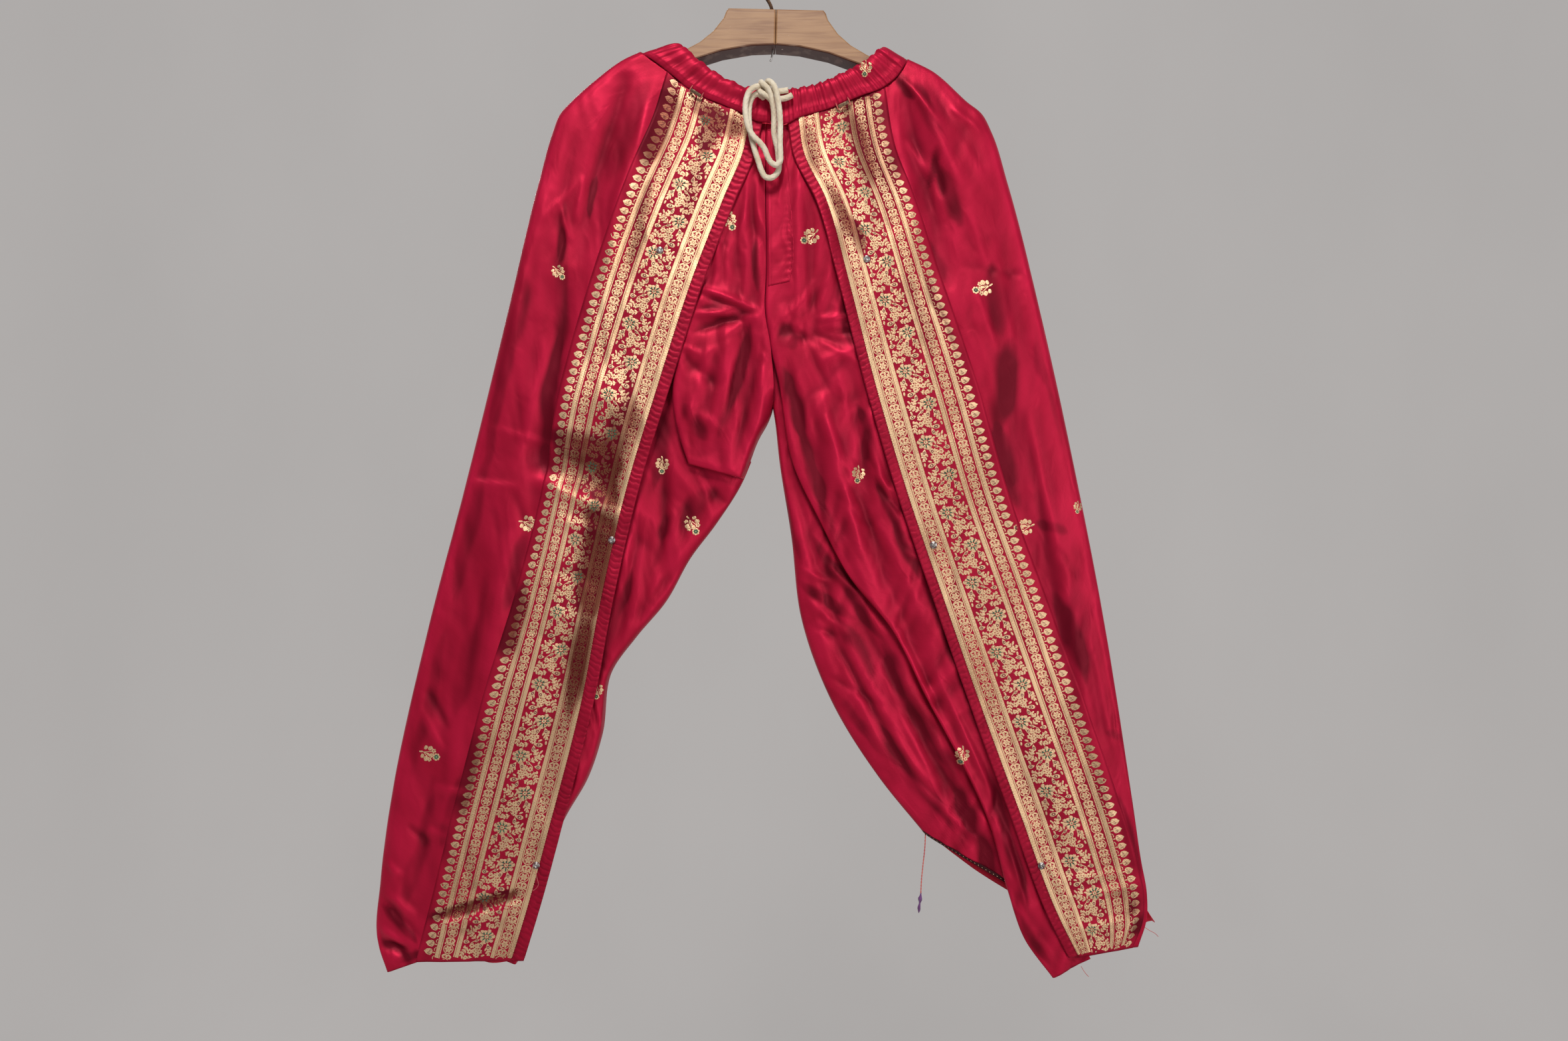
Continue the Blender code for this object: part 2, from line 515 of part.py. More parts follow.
def as_mesh(made):
    """A curve object made a mesh object of the same name and place, with its caps welded."""
    bpy.context.view_layer.update()
    seen = made.evaluated_get(bpy.context.evaluated_depsgraph_get())
    mesh = bpy.data.meshes.new_from_object(seen)
    work = bmesh.new()
    work.from_mesh(mesh)
    bmesh.ops.remove_doubles(work, verts=work.verts, dist=0.00002)
    work.to_mesh(mesh)
    work.free()
    name, place, outline = made.name, made.matrix_world.copy(), made.data
    bpy.data.objects.remove(made)
    solid = bpy.data.objects.new(name, mesh)
    solid.matrix_world = place
    garment.objects.link(solid)
    bpy.data.curves.remove(outline)
    return solid


def bore(made, x, top, bottom, diameter):
    """Cuts an upright round hole into a solid."""
    mesh = bpy.data.meshes.new("bore_cutter")
    work = bmesh.new()
    bmesh.ops.create_cone(
        work, cap_ends=True, segments=16, radius1=diameter / 2 * MM, radius2=diameter / 2 * MM,
        depth=(top - bottom) * MM,
    )
    work.to_mesh(mesh)
    work.free()
    cutter = bpy.data.objects.new("bore_cutter", mesh)
    cutter.location = (x * MM, 0, (top + bottom) / 2 * MM)
    cutter.hide_render = True
    cutter.display_type = "WIRE"
    cutters.objects.link(cutter)
    cut = made.modifiers.new("bore", "BOOLEAN")
    cut.operation = "DIFFERENCE"
    cut.solver = "EXACT"
    cut.object = cutter


# ---------------------------------------------------------------- cloth
def build_casing(silk):
    """The gathered tube that holds the drawstring: two front pieces that part at the middle, and a back.

    Each row is (share down, share of the depth, how far the ends draw in); the first rows are the
    cloth turned over inside the top edge.
    """
    def piece(name, top, bottom, shares, gathers, behind, both_ends):
        across = np.array([share for share, _ in shares])
        reach = np.clip([share for _, share in shares], 0, 1)
        wave = GATHER * np.cos(2 * math.pi * gathers * across) * reach**4
        ripple = 1.1 * np.cos(2 * math.pi * gathers * across + 0.6) * reach**4
        rows = []
        for down, share, draw in CASING_ROWS:
            drawn = across * (1 - draw) + (draw / 2 if both_ends else 0)
            upper, lower = smooth_curve(top, drawn), smooth_curve(bottom, drawn)
            flat = upper + down * (lower - upper)
            full = (CASING_DEPTH * share + wave * np.interp(down, [0, 0.5, 1], [1, 1, 0.45])) * reach
            y = np.maximum(full, SIDE_GAP / 2)
            z = flat[:, 1] + ripple * max(0, 1 - 4 * abs(down))
            rows.append(np.stack([flat[:, 0], y if behind else -y, z], axis=1))
        points = np.array(rows)
        runs_right = (points[0, -1, 0] > points[0, 0, 0]) != behind
        return grid_object(name, points if runs_right else points[:, ::-1], CASING, silk)

    half = even(0, 0.9, 29) + CASING_END
    whole = mirrored(CASING_END) + even(0.08, 0.92, 41) + CASING_END
    left = piece("casing_front_left", CASING_LEFT_TOP, CASING_LEFT_BOTTOM, half, 12.5, False, False)
    right = piece("casing_front_right", CASING_RIGHT_TOP, CASING_RIGHT_BOTTOM, half, 12.5, False, False)
    piece("casing_back", CASING_BACK_TOP, CASING_BACK_BOTTOM, whole, 19.5, True, True)
    return left, right


def build_left_leg(silk, zari):
    """The left leg: side panel, gold band with its placket, seat front with the pouch, inner leg, back."""
    folds = FOLDS_SIDE_LEFT + FOLDS_BAND_LEFT
    side_columns = SIDE_FOLD + even(0.3, 1.0, 4)
    cloth("side_panel_left", SIDE_LEFT, inset(BAND_LEFT_OUT, -SEAM_WALLS), side_columns,
          FRONT_DEPTH_LEFT, silk, rows=PANEL_ROWS, folds=folds, top=WAIST_FRONT)
    band_columns = [(0.0, 1.0), (0.25, 1.01), (0.5, 1.03), (0.75, 1.06), (1.0, 1.08)]
    band = cloth("band_left", BAND_LEFT_OUT, BAND_LEFT_IN, band_columns, FRONT_DEPTH_LEFT, zari,
                 rows=BAND_ROWS, folds=folds, top=WAIST_FRONT)
    cloth("band_hem_left", BAND_LEFT_OUT, BAND_LEFT_IN, band_columns, FRONT_DEPTH_LEFT, silk,
          rows=BAND_HEM_ROWS, folds=folds, wall=HEM)
    placket = cloth("placket_left", inset(BAND_LEFT_IN, SEAM_WALLS), inset(BAND_LEFT_IN, PLACKET_LEFT),
                    [(0.0, 1.08), (0.8, 1.10), (1.0, 1.08)], FRONT_DEPTH_LEFT, silk,
                    rows=PANEL_ROWS, folds=folds, top=WAIST_FRONT, wall=HEM)
    pouch_rows = even(0, 0.96, 13) + POUCH_ROWS
    seat_columns = TUCK + even(0.14, 0.75, 5) + mirrored(SIDE_FOLD)
    cloth("seat_front_left", SEAT_LEFT_HIDDEN, inset(CENTRE_FRONT + INNER_LEFT[:3], -SEAM),
          seat_columns, SEAT_DEPTH, silk, rows=pouch_rows, folds=FOLDS_SEAT_LEFT, seam_until=0.74,
          seam_columns=5, top=WAIST_FRONT)
    leg_columns = even(0.0, 0.7, 5) + mirrored(SIDE_FOLD)
    cloth("leg_front_left", LEG_LEFT_HIDDEN, [(-36, -552)] + INNER_LEFT[3:], leg_columns,
          LEG_LEFT_DEPTH, silk, folds=FOLDS_LEG_LEFT)
    back_columns = BACK_FOLD + even(0.28, 0.76, 4) + mirrored(BACK_FOLD)
    cloth("back_left", SIDE_LEFT, inset(CENTRE_BACK + INNER_LEFT, -SEAM_WALLS), back_columns,
          BACK_DEPTH, silk, folds=FOLDS_BACK_LEFT, behind=True, seam_until=0.26, seam_columns=5,
          top=WAIST_BACK, hem=HEM_BACK_LEFT)
    return band, placket


def build_right_leg(silk, zari):
    """The right leg: side panel, gold band with its placket, front with its long fold, drape, back."""
    folds = FOLDS_SIDE_RIGHT + FOLDS_BAND_RIGHT
    side_columns = even(0.0, 0.7, 4) + mirrored(SIDE_FOLD)
    cloth("side_panel_right", inset(BAND_RIGHT_OUT, SEAM_WALLS), SIDE_RIGHT + SIDE_RIGHT_FRONT_END,
          side_columns, FRONT_DEPTH_RIGHT, silk, rows=PANEL_ROWS, folds=folds, top=WAIST_FRONT)
    band_columns = [(0.0, 1.08), (0.25, 1.06), (0.5, 1.03), (0.75, 1.01), (1.0, 1.0)]
    band = cloth("band_right", BAND_RIGHT_IN, BAND_RIGHT_OUT, band_columns, FRONT_DEPTH_RIGHT, zari,
                 rows=BAND_ROWS, folds=folds, top=WAIST_FRONT)
    cloth("band_hem_right", BAND_RIGHT_IN, BAND_RIGHT_OUT, band_columns, FRONT_DEPTH_RIGHT, silk,
          rows=BAND_HEM_ROWS, folds=folds, wall=HEM)
    placket = cloth("placket_right", inset(BAND_RIGHT_IN, -PLACKET_RIGHT), inset(BAND_RIGHT_IN, -SEAM_WALLS),
                    [(0.0, 1.08), (0.2, 1.10), (1.0, 1.08)], FRONT_DEPTH_RIGHT, silk,
                    rows=PANEL_ROWS, folds=folds, top=WAIST_FRONT, wall=HEM)
    front = cloth("front_right", CENTRE_FRONT + FOLD_RIGHT, FRONT_RIGHT_HIDDEN,
                  TUCK + FLY_COLUMNS + even(0.5, 1.0, 5), FRONT_RIGHT_DEPTH, silk,
                  folds=FOLDS_FRONT_RIGHT, top=WAIST_FRONT)
    cloth("hem_turn_right", HEM_TURN_LEFT, HEM_TURN_RIGHT, even(0.0, 1.0, 3),
          HEM_TURN_DEPTH, silk, rows=even(0.0, 1.0, 4))
    drape_columns = SIDE_FOLD + even(0.26, 0.62, 4) + even(0.8, 1.0, 2)
    cloth("drape_right", INNER_RIGHT, DRAPE_HIDDEN, drape_columns, DRAPE_DEPTH, silk,
          rows=DRAPE_ROWS, folds=FOLDS_DRAPE)
    cloth("drape_hem", INNER_RIGHT, DRAPE_HIDDEN, drape_columns, DRAPE_DEPTH, silk,
          rows=DRAPE_HEM_ROWS, folds=FOLDS_DRAPE)
    back_columns = BACK_FOLD + even(0.28, 0.76, 4) + mirrored(BACK_FOLD)
    cloth("back_right", SIDE_RIGHT + SIDE_RIGHT_BACK_END, inset(CENTRE_BACK + INNER_RIGHT, SEAM_WALLS),
          back_columns, BACK_DEPTH, silk, folds=FOLDS_BACK_RIGHT, behind=True, seam_until=0.30,
          seam_columns=5, top=WAIST_BACK, hem=HEM_BACK_RIGHT, hem_margin=0.3)
    return band, placket, front


# ---------------------------------------------------------------- trims
def build_trims(bands, casings, front, silk, steel, brass):
    """Press studs and trouser-hook bars on the bands, and the fly placket on the right front."""
    applique("fly_placket", front, FLY_LEFT, FLY_RIGHT, 5, 10, silk, FLY_WALL)
    surfaces = [surface_of(band) for band in bands]
    for side, places in (("left", SNAPS_LEFT), ("right", SNAPS_RIGHT)):
        for number, (x, z) in enumerate(places, 1):
            frame = resting_frame(surfaces, x, z, SNAP_PROFILE[-2][0], SEAM)
            turned(f"snap_{side}_{number}", SNAP_PROFILE, frame, steel)
    surfaces += [surface_of(casing) for casing in casings]
    upright = Matrix.Rotation(math.pi / 2, 4, "X")
    for side, (x, z, slope) in (("left", HOOK_BAR_LEFT), ("right", HOOK_BAR_RIGHT)):
        frame = resting_frame(surfaces, x, z, HOOK_BAR_OUTLINE[6][0], BAR_SEAM)
        bar = flat_outline(f"hook_bar_{side}", HOOK_BAR_OUTLINE, HOOK_BAR_HIGH, brass)
        bar.matrix_world = frame @ Matrix.Rotation(math.radians(slope), 4, "Z") @ upright


def build_drawstring(cord, thread):
    """The bow in front of the slit, knotted once, with its two free ends, and the drape's loose thread."""
    tube("drawstring_loop_front", LOOP_FRONT, CORD, cord)
    tube("drawstring_loop_back", LOOP_BACK, CORD, cord)
    tube("drawstring_end_upper", END_UPPER, CORD, cord, points=8)
    tube("drawstring_end_lower", END_LOWER, CORD, cord, points=8)
    lump("drawstring_knot", KNOT_AT, KNOT_RADII, cord)
    tube("thread_tail", THREAD_ROUTE, THREAD, thread, points=10)
    lump("thread_knot", THREAD_KNOT_AT, THREAD_KNOT_RADII, thread)


def build_hanger(wood, wire):
    """The wooden hanger: two halves glued at the middle, a wire hook and the nail end below it."""
    tilt = Matrix.Rotation(HANGER_TILT, 4, "Y")
    middle_x, middle_z = HANGER_PIVOT
    tilt = Matrix.Translation((middle_x * MM, 0, middle_z * MM)) @ tilt @ Matrix.Rotation(math.pi / 2, 4, "X")
    for side, sign in (("left", -1), ("right", 1)):
        outline = [(sign * max(x, HANGER_EDGE_GAP), z - middle_z) for x, z in HANGER_TOP + HANGER_BOTTOM]
        half = flat_outline(f"hanger_{side}", outline, HANGER_THICK, wood, HANGER_EDGE)
        half.matrix_world = tilt
        if side == "left":
            half = as_mesh(half)
            bore(half, WIRE_ROUTE[0][0], -50, -79, WIRE + 2 * BORE_CLEARANCE)
            bore(half, PIN_ROUTE[0][0], -84, -110, PIN + 2 * BORE_CLEARANCE)
    tube("hanger_hook", WIRE_ROUTE, WIRE, wire, points=36)
    tube("hanger_pin", PIN_ROUTE, PIN, wire, points=8)


# ---------------------------------------------------------------- the scene
for old in list(bpy.data.objects):
    bpy.data.objects.remove(old)
garment = bpy.data.collections.new("dhoti_pants_on_a_hanger")
cutters = bpy.data.collections.new("cutters")
for group in (garment, cutters):
    bpy.context.scene.collection.children.link(group)
cutters.hide_render = True

silk_finish = material("crimson_silk", (0.50, 0.010, 0.055), 0.38)
zari_finish = material("gold_zari", (0.72, 0.47, 0.24), 0.35, 0.6)
casings = build_casing(silk_finish)
left_band, left_placket = build_left_leg(silk_finish, zari_finish)
right_band, right_placket, right_front = build_right_leg(silk_finish, zari_finish)
build_trims(
    [left_band, left_placket, right_band, right_placket], casings, right_front, silk_finish,
    material("stud_steel", (0.62, 0.62, 0.64), 0.3, 1.0), material("bar_brass", (0.25, 0.16, 0.09), 0.5, 1.0),
)
build_drawstring(
    material("cord_cotton", (0.72, 0.64, 0.50), 0.85), material("thread_pink", (0.55, 0.16, 0.12), 0.6),
)
build_hanger(material("light_wood", (0.52, 0.34, 0.19), 0.5), material("brown_wire", (0.16, 0.09, 0.06), 0.45, 0.9))
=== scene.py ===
"""Dhoti pants of crimson silk with woven gold bands, hung by the waist on a wooden hanger.

Every piece is a surface worked out on a grid of two parameters, in millimetres, and put into a mesh in
metres. The cloth repeats the outlines, depths and folds of the solids it stands for, with many more
rows and columns, finer creases, puckers and seams. Left and right are as the viewer of the front sees
them, and the front faces -Y.
"""

import logging
import math
from dataclasses import dataclass, field
from enum import Enum

import bmesh
import bpy
import numpy as np
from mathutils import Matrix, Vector


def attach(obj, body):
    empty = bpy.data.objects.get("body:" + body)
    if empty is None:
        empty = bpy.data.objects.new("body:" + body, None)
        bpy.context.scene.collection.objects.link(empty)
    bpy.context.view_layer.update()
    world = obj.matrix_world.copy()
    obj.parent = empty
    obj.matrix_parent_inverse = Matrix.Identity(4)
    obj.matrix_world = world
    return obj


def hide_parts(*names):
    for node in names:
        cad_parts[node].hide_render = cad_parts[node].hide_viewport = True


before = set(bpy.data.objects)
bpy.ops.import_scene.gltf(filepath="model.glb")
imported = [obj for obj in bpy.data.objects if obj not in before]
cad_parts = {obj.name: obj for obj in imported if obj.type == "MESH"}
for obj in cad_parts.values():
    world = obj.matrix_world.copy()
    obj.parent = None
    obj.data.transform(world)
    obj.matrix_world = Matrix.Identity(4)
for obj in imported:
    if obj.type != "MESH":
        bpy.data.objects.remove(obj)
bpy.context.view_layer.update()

MM = 0.001
Array = np.ndarray
Material = bpy.types.Material
Piece = bpy.types.Object
Socket = bpy.types.NodeSocket
Table = list[tuple[float, ...]]
Triple = tuple[float, float, float]
log = logging.getLogger("dhoti_pants")

# ---------------------------------------------------------------- sizes, in millimetres
SEAM = 0.3                       # gap between pieces at a seam
WAIST_LAP, BACK_LAP = 1.2, 6.0   # how far fronts and backs run up into the casing
CASING_DEPTH = 23.9              # middle of the gathers

# ---------------------------------------------------------------- outlines, (x, z)
SIDE_LEFT = [
    (-142, -109), (-159, -116), (-189, -137), (-212, -157), (-225, -171), (-232, -189), (-246, -240),
    (-279, -380), (-320, -547), (-363, -713), (-399, -880), (-410, -963), (-413, -1028), (-403, -1058),
]
SIDE_RIGHT = [
    (137, -115), (163, -127), (199, -158), (214, -170), (224, -189), (240, -240), (275, -380), (311, -547),
    (342, -713), (367, -880), (376, -942),
]
SIDE_RIGHT_FRONT_END = [(382, -975), (382, -1002), (374, -1030)]
SIDE_RIGHT_BACK_END = [(385, -984), (396, -1011)]
# from the crotch down the inside of the left leg
INNER_LEFT = [
    (-8, -489), (-17, -505), (-34, -548), (-62, -594), (-89, -630), (-115, -676), (-146, -713),
    (-171, -748), (-182, -817), (-196, -859), (-220, -901), (-240, -944), (-250, -1005), (-263, -1029),
    (-270, -1052),
]
# from the crotch down the free fall of the right leg's drape
INNER_RIGHT = [
    (-1, -489), (3, -526), (16, -609), (26, -692), (56, -776), (107, -859), (154, -917),
]
CENTRE_BACK = [(0, -170), (0, -300), (-2, -430), (-3, -462), (-3, -474)]
CENTRE_FRONT = [(-11, -176), (-11, -255), (-10, -330), (-11, -377), (-5, -415)]
BAND_LEFT_OUT = [
    (-112, -128), (-128, -180), (-151, -234), (-172, -289), (-190, -343), (-221, -452), (-241, -561),
    (-268, -670), (-302, -779), (-331, -888), (-359, -997), (-371, -1046),
]
BAND_LEFT_IN = [
    (-27, -166), (-34, -207), (-55, -262), (-86, -343), (-121, -452), (-154, -561), (-179, -670),
    (-200, -779), (-228, -888), (-258, -997), (-273, -1045),
]
BAND_RIGHT_OUT = [
    (112, -140), (123, -207), (144, -262), (170, -343), (206, -452), (237, -561), (277, -670), (316, -779),
    (354, -888), (370, -942), (378, -975), (377, -1003), (367, -1031),
]
BAND_RIGHT_IN = [
    (23, -170), (28, -207), (52, -262), (74, -343), (102, -452), (134, -561), (171, -670), (209, -779),
    (249, -888), (290, -997), (312, -1041),
]
FLY_LEFT = [(-8.5, -188), (-8.5, -260), (-8, -330), (-8, -350)]
FLY_RIGHT = [(8.5, -187), (12, -225), (16.5, -280), (18, -325), (14, -345)]
HEM_TURN_LEFT = [(293, -1036), (290.5, -1050), (289, -1061)]
HEM_TURN_RIGHT = [(322, -1034), (310, -1050), (293, -1061)]
# under the left band, then down the pouch's fold
SEAT_LEFT_HIDDEN = [
    (-45, -168), (-55, -207), (-70, -255), (-86, -310), (-96, -370), (-104, -430), (-106, -472),
    (-100, -503), (-90, -533),
]
LEG_LEFT_HIDDEN = [
    (-108, -420), (-117, -444), (-126, -462), (-150, -520), (-170, -600), (-188, -670), (-208, -779),
    (-236, -888), (-266, -997), (-281, -1048),
]
# free fold of the right front below the centre seam
FOLD_RIGHT = [
    (3, -450), (18, -534), (45, -591), (73, -645), (121, -706), (154, -772), (191, -841), (218, -899),
    (239, -973), (257, -1024), (286, -1064),
]
DRAPE_TOP_LEFT, DRAPE_TOP_RIGHT = [(-10, -425), (-6, -458)], [(16, -420), (22, -450)]
FRONT_RIGHT_HIDDEN = [
    (34, -178), (52, -233), (80, -285), (92, -343), (116, -452), (150, -561), (186, -670), (224, -779),
    (262, -888), (302, -997), (325, -1044),
]
DRAPE_HIDDEN = [
    (26, -476), (48, -540), (76, -595), (108, -650), (152, -712), (184, -775), (215, -835), (243, -900),
    (262, -950), (268, -985),
]
CASING_LEFT_TOP = [
    (-3, -149), (-26, -147), (-42, -142), (-58, -134), (-71, -125), (-86, -113), (-95, -104), (-105, -97),
]
CASING_LEFT_BOTTOM = [
    (-6, -183), (-20, -181), (-34, -173), (-52, -165), (-72, -157), (-90, -147), (-112, -129), (-128, -117),
    (-142, -108),
]
CASING_RIGHT_TOP = [
    (3, -149), (17, -148), (45, -142), (66, -133), (82, -125), (98, -115), (106, -107), (113, -101),
]
CASING_RIGHT_BOTTOM = [
    (2, -185), (12, -183), (24, -177), (54, -168), (89, -154), (110, -146), (124, -135), (131, -125),
    (137, -114),
]
CASING_BACK_TOP = [
    (-105, -97), (-94, -108), (-70, -129), (-40, -147), (0, -155), (40, -149), (70, -136), (98, -117),
    (113, -101),
]
CASING_BACK_BOTTOM = [
    (-142, -108), (-126, -120), (-88, -151), (-45, -177), (0, -188), (45, -180), (90, -158), (122, -133),
    (137, -114),
]
WAIST_FRONT = CASING_LEFT_BOTTOM[::-1] + CASING_RIGHT_BOTTOM
WAIST_BACK = CASING_BACK_BOTTOM
HEM_BACK_LEFT = [(-403, -1058), (-371, -1050), (-330, -1052), (-290, -1058), (-270, -1052)]
HEM_BACK_RIGHT = [(154, -917), (213, -962), (252, -986), (314, -1020), (370, -1024), (396, -1011)]

# ---------------------------------------------------------------- depths, (share of length, mm)
FRONT_DEPTH_LEFT = [(0, 20), (0.08, 23), (0.3, 25), (0.6, 26), (0.85, 23), (1, 18)]
FRONT_DEPTH_RIGHT = [(0, 20), (0.08, 23), (0.3, 26), (0.6, 28), (0.85, 25), (1, 19)]
SEAT_DEPTH = [(0, 15.5), (0.15, 18.5), (0.5, 20.5), (0.8, 22.5), (1, 22)]
FRONT_RIGHT_DEPTH = [(0, 15.5), (0.08, 18.5), (0.3, 21.5), (0.6, 22.5), (0.85, 20), (1, 14)]
LEG_LEFT_DEPTH = [(0, 7), (0.1, 10), (0.25, 14.5), (0.5, 17), (0.8, 15), (1, 11)]
DRAPE_DEPTH = [(0, 8), (0.2, 11), (0.6, 12), (1, 9)]
HEM_TURN_DEPTH = [(0, 8.6), (1, 8.9)]
BACK_DEPTH = [(0, 19.5), (0.1, 21), (0.4, 20), (0.8, 17), (1, 13)]

# ---------------------------------------------------------------- margins, (across, share of depth)
BACK_FOLD = [(0, 0), (0.002, 0.3), (0.007, 0.64), (0.03, 0.9), (0.1, 0.98)]
SIDE_FOLD = [(0, 0), (0.004, 0.3), (0.016, 0.6), (0.055, 0.86), (0.14, 0.97)]
TUCK = [(0.14, 0.68), (0.05, 0.70), (0, 0.80), (0, 0.90), (0.03, 0.985)]
POUCH_ROWS = [(0.99, 0.97), (1, 0.88), (0.995, 0.75), (0.965, 0.68), (0.935, 0.66)]
CASING_END = [(0.93, 0.99), (0.965, 0.88), (0.99, 0.62), (0.998, 0.3), (1, 0)]
CASING_ROWS = [(0.2, 0.79, 0.05), (-0.015, 0.82, 0.04), (-0.03, 0.92, 0.012), (0.05, 1, 0),
               (0.6, 1, 0), (0.93, 0.96, 0), (1, 0.90, 0)]

# ---------------------------------------------------------------- folds
# x0, z0 to x1, z1 is a fold's line, then its half width and its rise towards the viewer; in each table
# the broad folds come first and the fine creases after them
FOLDS_LEFT = [
    (-150, -130, -215, -330, 16, -4), (-130, -160, -190, -420, 12, 3), (-240, -230, -285, -520, 14, 3.5),
    (-215, -330, -255, -640, 13, -5), (-300, -560, -345, -800, 18, -4), (-275, -600, -300, -820, 12, 3.5),
    (-375, -850, -400, -1020, 12, 3), (-340, -900, -372, -1010, 14, -4), (-414, -1026, -366, -1036, 5, -4),
    (-165, -470, -215, -690, 22, -5), (-110, -150, -125, -260, 12, -3), (-205, -690, -240, -900, 14, -3),
    (-345, -1002, -262, -975, 7, -3.5), (-262, -478, -150, -462, 34, 5), (-262, -520, -158, -562, 19, -6.5),
    (-262, -540, -150, -590, 8, 3.5), (-360, -1014, -256, -983, 5, 2.4),
    (-364, -1003, -252, -968, 4.5, -2.2), (-300, -494, -190, -524, 2.5, 0.9),
    (-354, -865, -310, -871, 2.5, 1.6), (-378, -902, -356, -926, 2.5, -1.8),
    (-360, -908, -336, -917, 2.5, 1.5), (-402, -938, -382, -958, 2.5, 1.7),
    (-405, -978, -366, -1020, 3, -2.6), (-398, -972, -370, -1000, 2.5, 1.8),
    (-406, -1010, -372, -1036, 3, 2.4), (-400, -1024, -374, -1048, 3, -2.2),
    (-320, -551, -262, -557, 2.5, 1.4), (-358, -762, -334, -808, 4, -2.4), (-366, -780, -340, -830, 3, 1.8),
    (-268, -560, -256, -604, 4, -1.6), (-222, -262, -212, -306, 2.5, 2), (-216, -290, -226, -336, 2.5, -1.8),
    (-196, -238, -206, -286, 3, 1.8), (-120, -128, -172, -300, 5, 1.6), (-150, -128, -196, -262, 6, -1.8),
    (-176, -150, -214, -330, 6, 1.5), (-205, -190, -226, -300, 5, -1.4), (-140, -170, -165, -330, 4, -1),
    (-215, -330, -270, -560, 6, 1.8), (-245, -300, -262, -420, 5, -1.4), (-268, -318, -284, -336, 3, -2),
    (-262, -560, -300, -760, 7, 1.5), (-296, -640, -322, -790, 5, -1.6), (-318, -770, -350, -960, 7, 1.6),
    (-352, -850, -372, -980, 5, -1.6), (-395, -940, -372, -1044, 5, 1.8),
    (-412, -1010, -398, -1040, 4, -1.6), (-398, -1046, -356, -1026, 4, 1.6),
    (-352, -1010, -262, -982, 4, 1.8), (-346, -1016, -300, -1004, 5, -1.2), (-236, -640, -176, -655, 6, -1),
    (-228, -590, -170, -604, 5, 1.2), (-260, -700, -205, -722, 5, -0.8), (-345, -985, -300, -960, 4, -1),
]
FOLDS_RIGHT = [
    (140, -135, 215, -300, 16, 3.5), (125, -150, 180, -360, 13, -4), (225, -230, 262, -470, 14, -3.5),
    (190, -330, 245, -600, 13, 3.5), (280, -560, 325, -860, 12, 3.5), (262, -560, 300, -760, 12, -4),
    (330, -800, 362, -960, 8, 2.5), (40, -250, 80, -420, 9, 4.5), (75, -150, 118, -300, 12, -3.5),
    (230, -790, 300, -960, 14, -2.5), (300, -985, 378, -960, 8, 3), (126, -132, 172, -188, 3, 2.2),
    (134, -198, 156, -238, 3, 2), (160, -212, 172, -262, 3, -2), (178, -166, 214, -194, 3, 1.6),
    (196, -270, 216, -330, 4, 1.5), (256, -470, 290, -640, 4, 1.8), (204, -352, 226, -420, 4, 1.6),
    (318, -700, 350, -842, 4, 1.6), (352, -880, 372, -950, 3, 1.8), (134, -128, 190, -250, 5, 1.7),
    (128, -140, 168, -300, 5, -1.6), (150, -130, 214, -230, 5, -1.5), (118, -150, 150, -310, 4, 1.2),
    (170, -150, 222, -262, 5, 1.4), (186, -330, 238, -560, 6, -1.4), (222, -300, 246, -430, 5, 1.2),
    (190, -330, 270, -341, 3, -0.8), (252, -520, 290, -720, 6, 1.5), (286, -650, 318, -840, 6, -1.5),
    (318, -760, 346, -930, 5, 1.3), (344, -870, 366, -960, 4, -1.3), (286, -960, 376, -950, 4, 1.4),
    (290, -985, 372, -972, 4, -1.3), (300, -1012, 372, -1000, 5, 1.2), (345, -1030, 378, -985, 5, 2.2),
    (250, -900, 330, -915, 6, 0.8), (45, -250, 78, -330, 4, -1.4),
]
FOLDS_SEAT = [
    (-80, -395, -20, -372, 7, -3), (-95, -420, -60, -455, 6, -2.5), (-12, -390, -60, -350, 8, 2.5),
    (-45, -390, -60, -520, 9, 3), (-20, -400, -78, -535, 10, -3), (-5, -430, -30, -530, 7, 3),
    (-32, -190, -36, -330, 6, 2), (-22, -240, -24, -380, 5, -2), (-80, -352, -19, -374, 2.5, 2.2),
    (-78, -358, -22, -379, 2.5, -2), (-87, -377, -17, -383, 2.5, 1.8), (-104, -409, -78, -420, 2.5, 2),
    (-39, -432, -42, -500, 3, 2), (-12, -402, -46, -538, 3, -2), (-57, -451, -72, -523, 4, 1.8),
    (-92, -440, -84, -512, 3, 1.6), (-92, -382, -22, -372, 3, 1.6), (-90, -398, -26, -378, 3, -1.8),
    (-86, -430, -26, -384, 4, 1.4), (-70, -416, -24, -388, 3, -1.4), (-100, -470, -52, -500, 5, 1.4),
    (-64, -400, -92, -500, 5, 1.6), (-36, -400, -62, -512, 5, 1.5), (-20, -420, -46, -520, 4, -1.5),
    (-60, -330, -92, -372, 5, -1.2), (-28, -292, -32, -366, 3, 1), (-40, -290, -46, -366, 3, -1),
    (-52, -230, -64, -330, 5, 1.1), (-24, -384, -18, -470, 3, 1.4), (-80, -350, -30, -366, 3, 1.1),
]
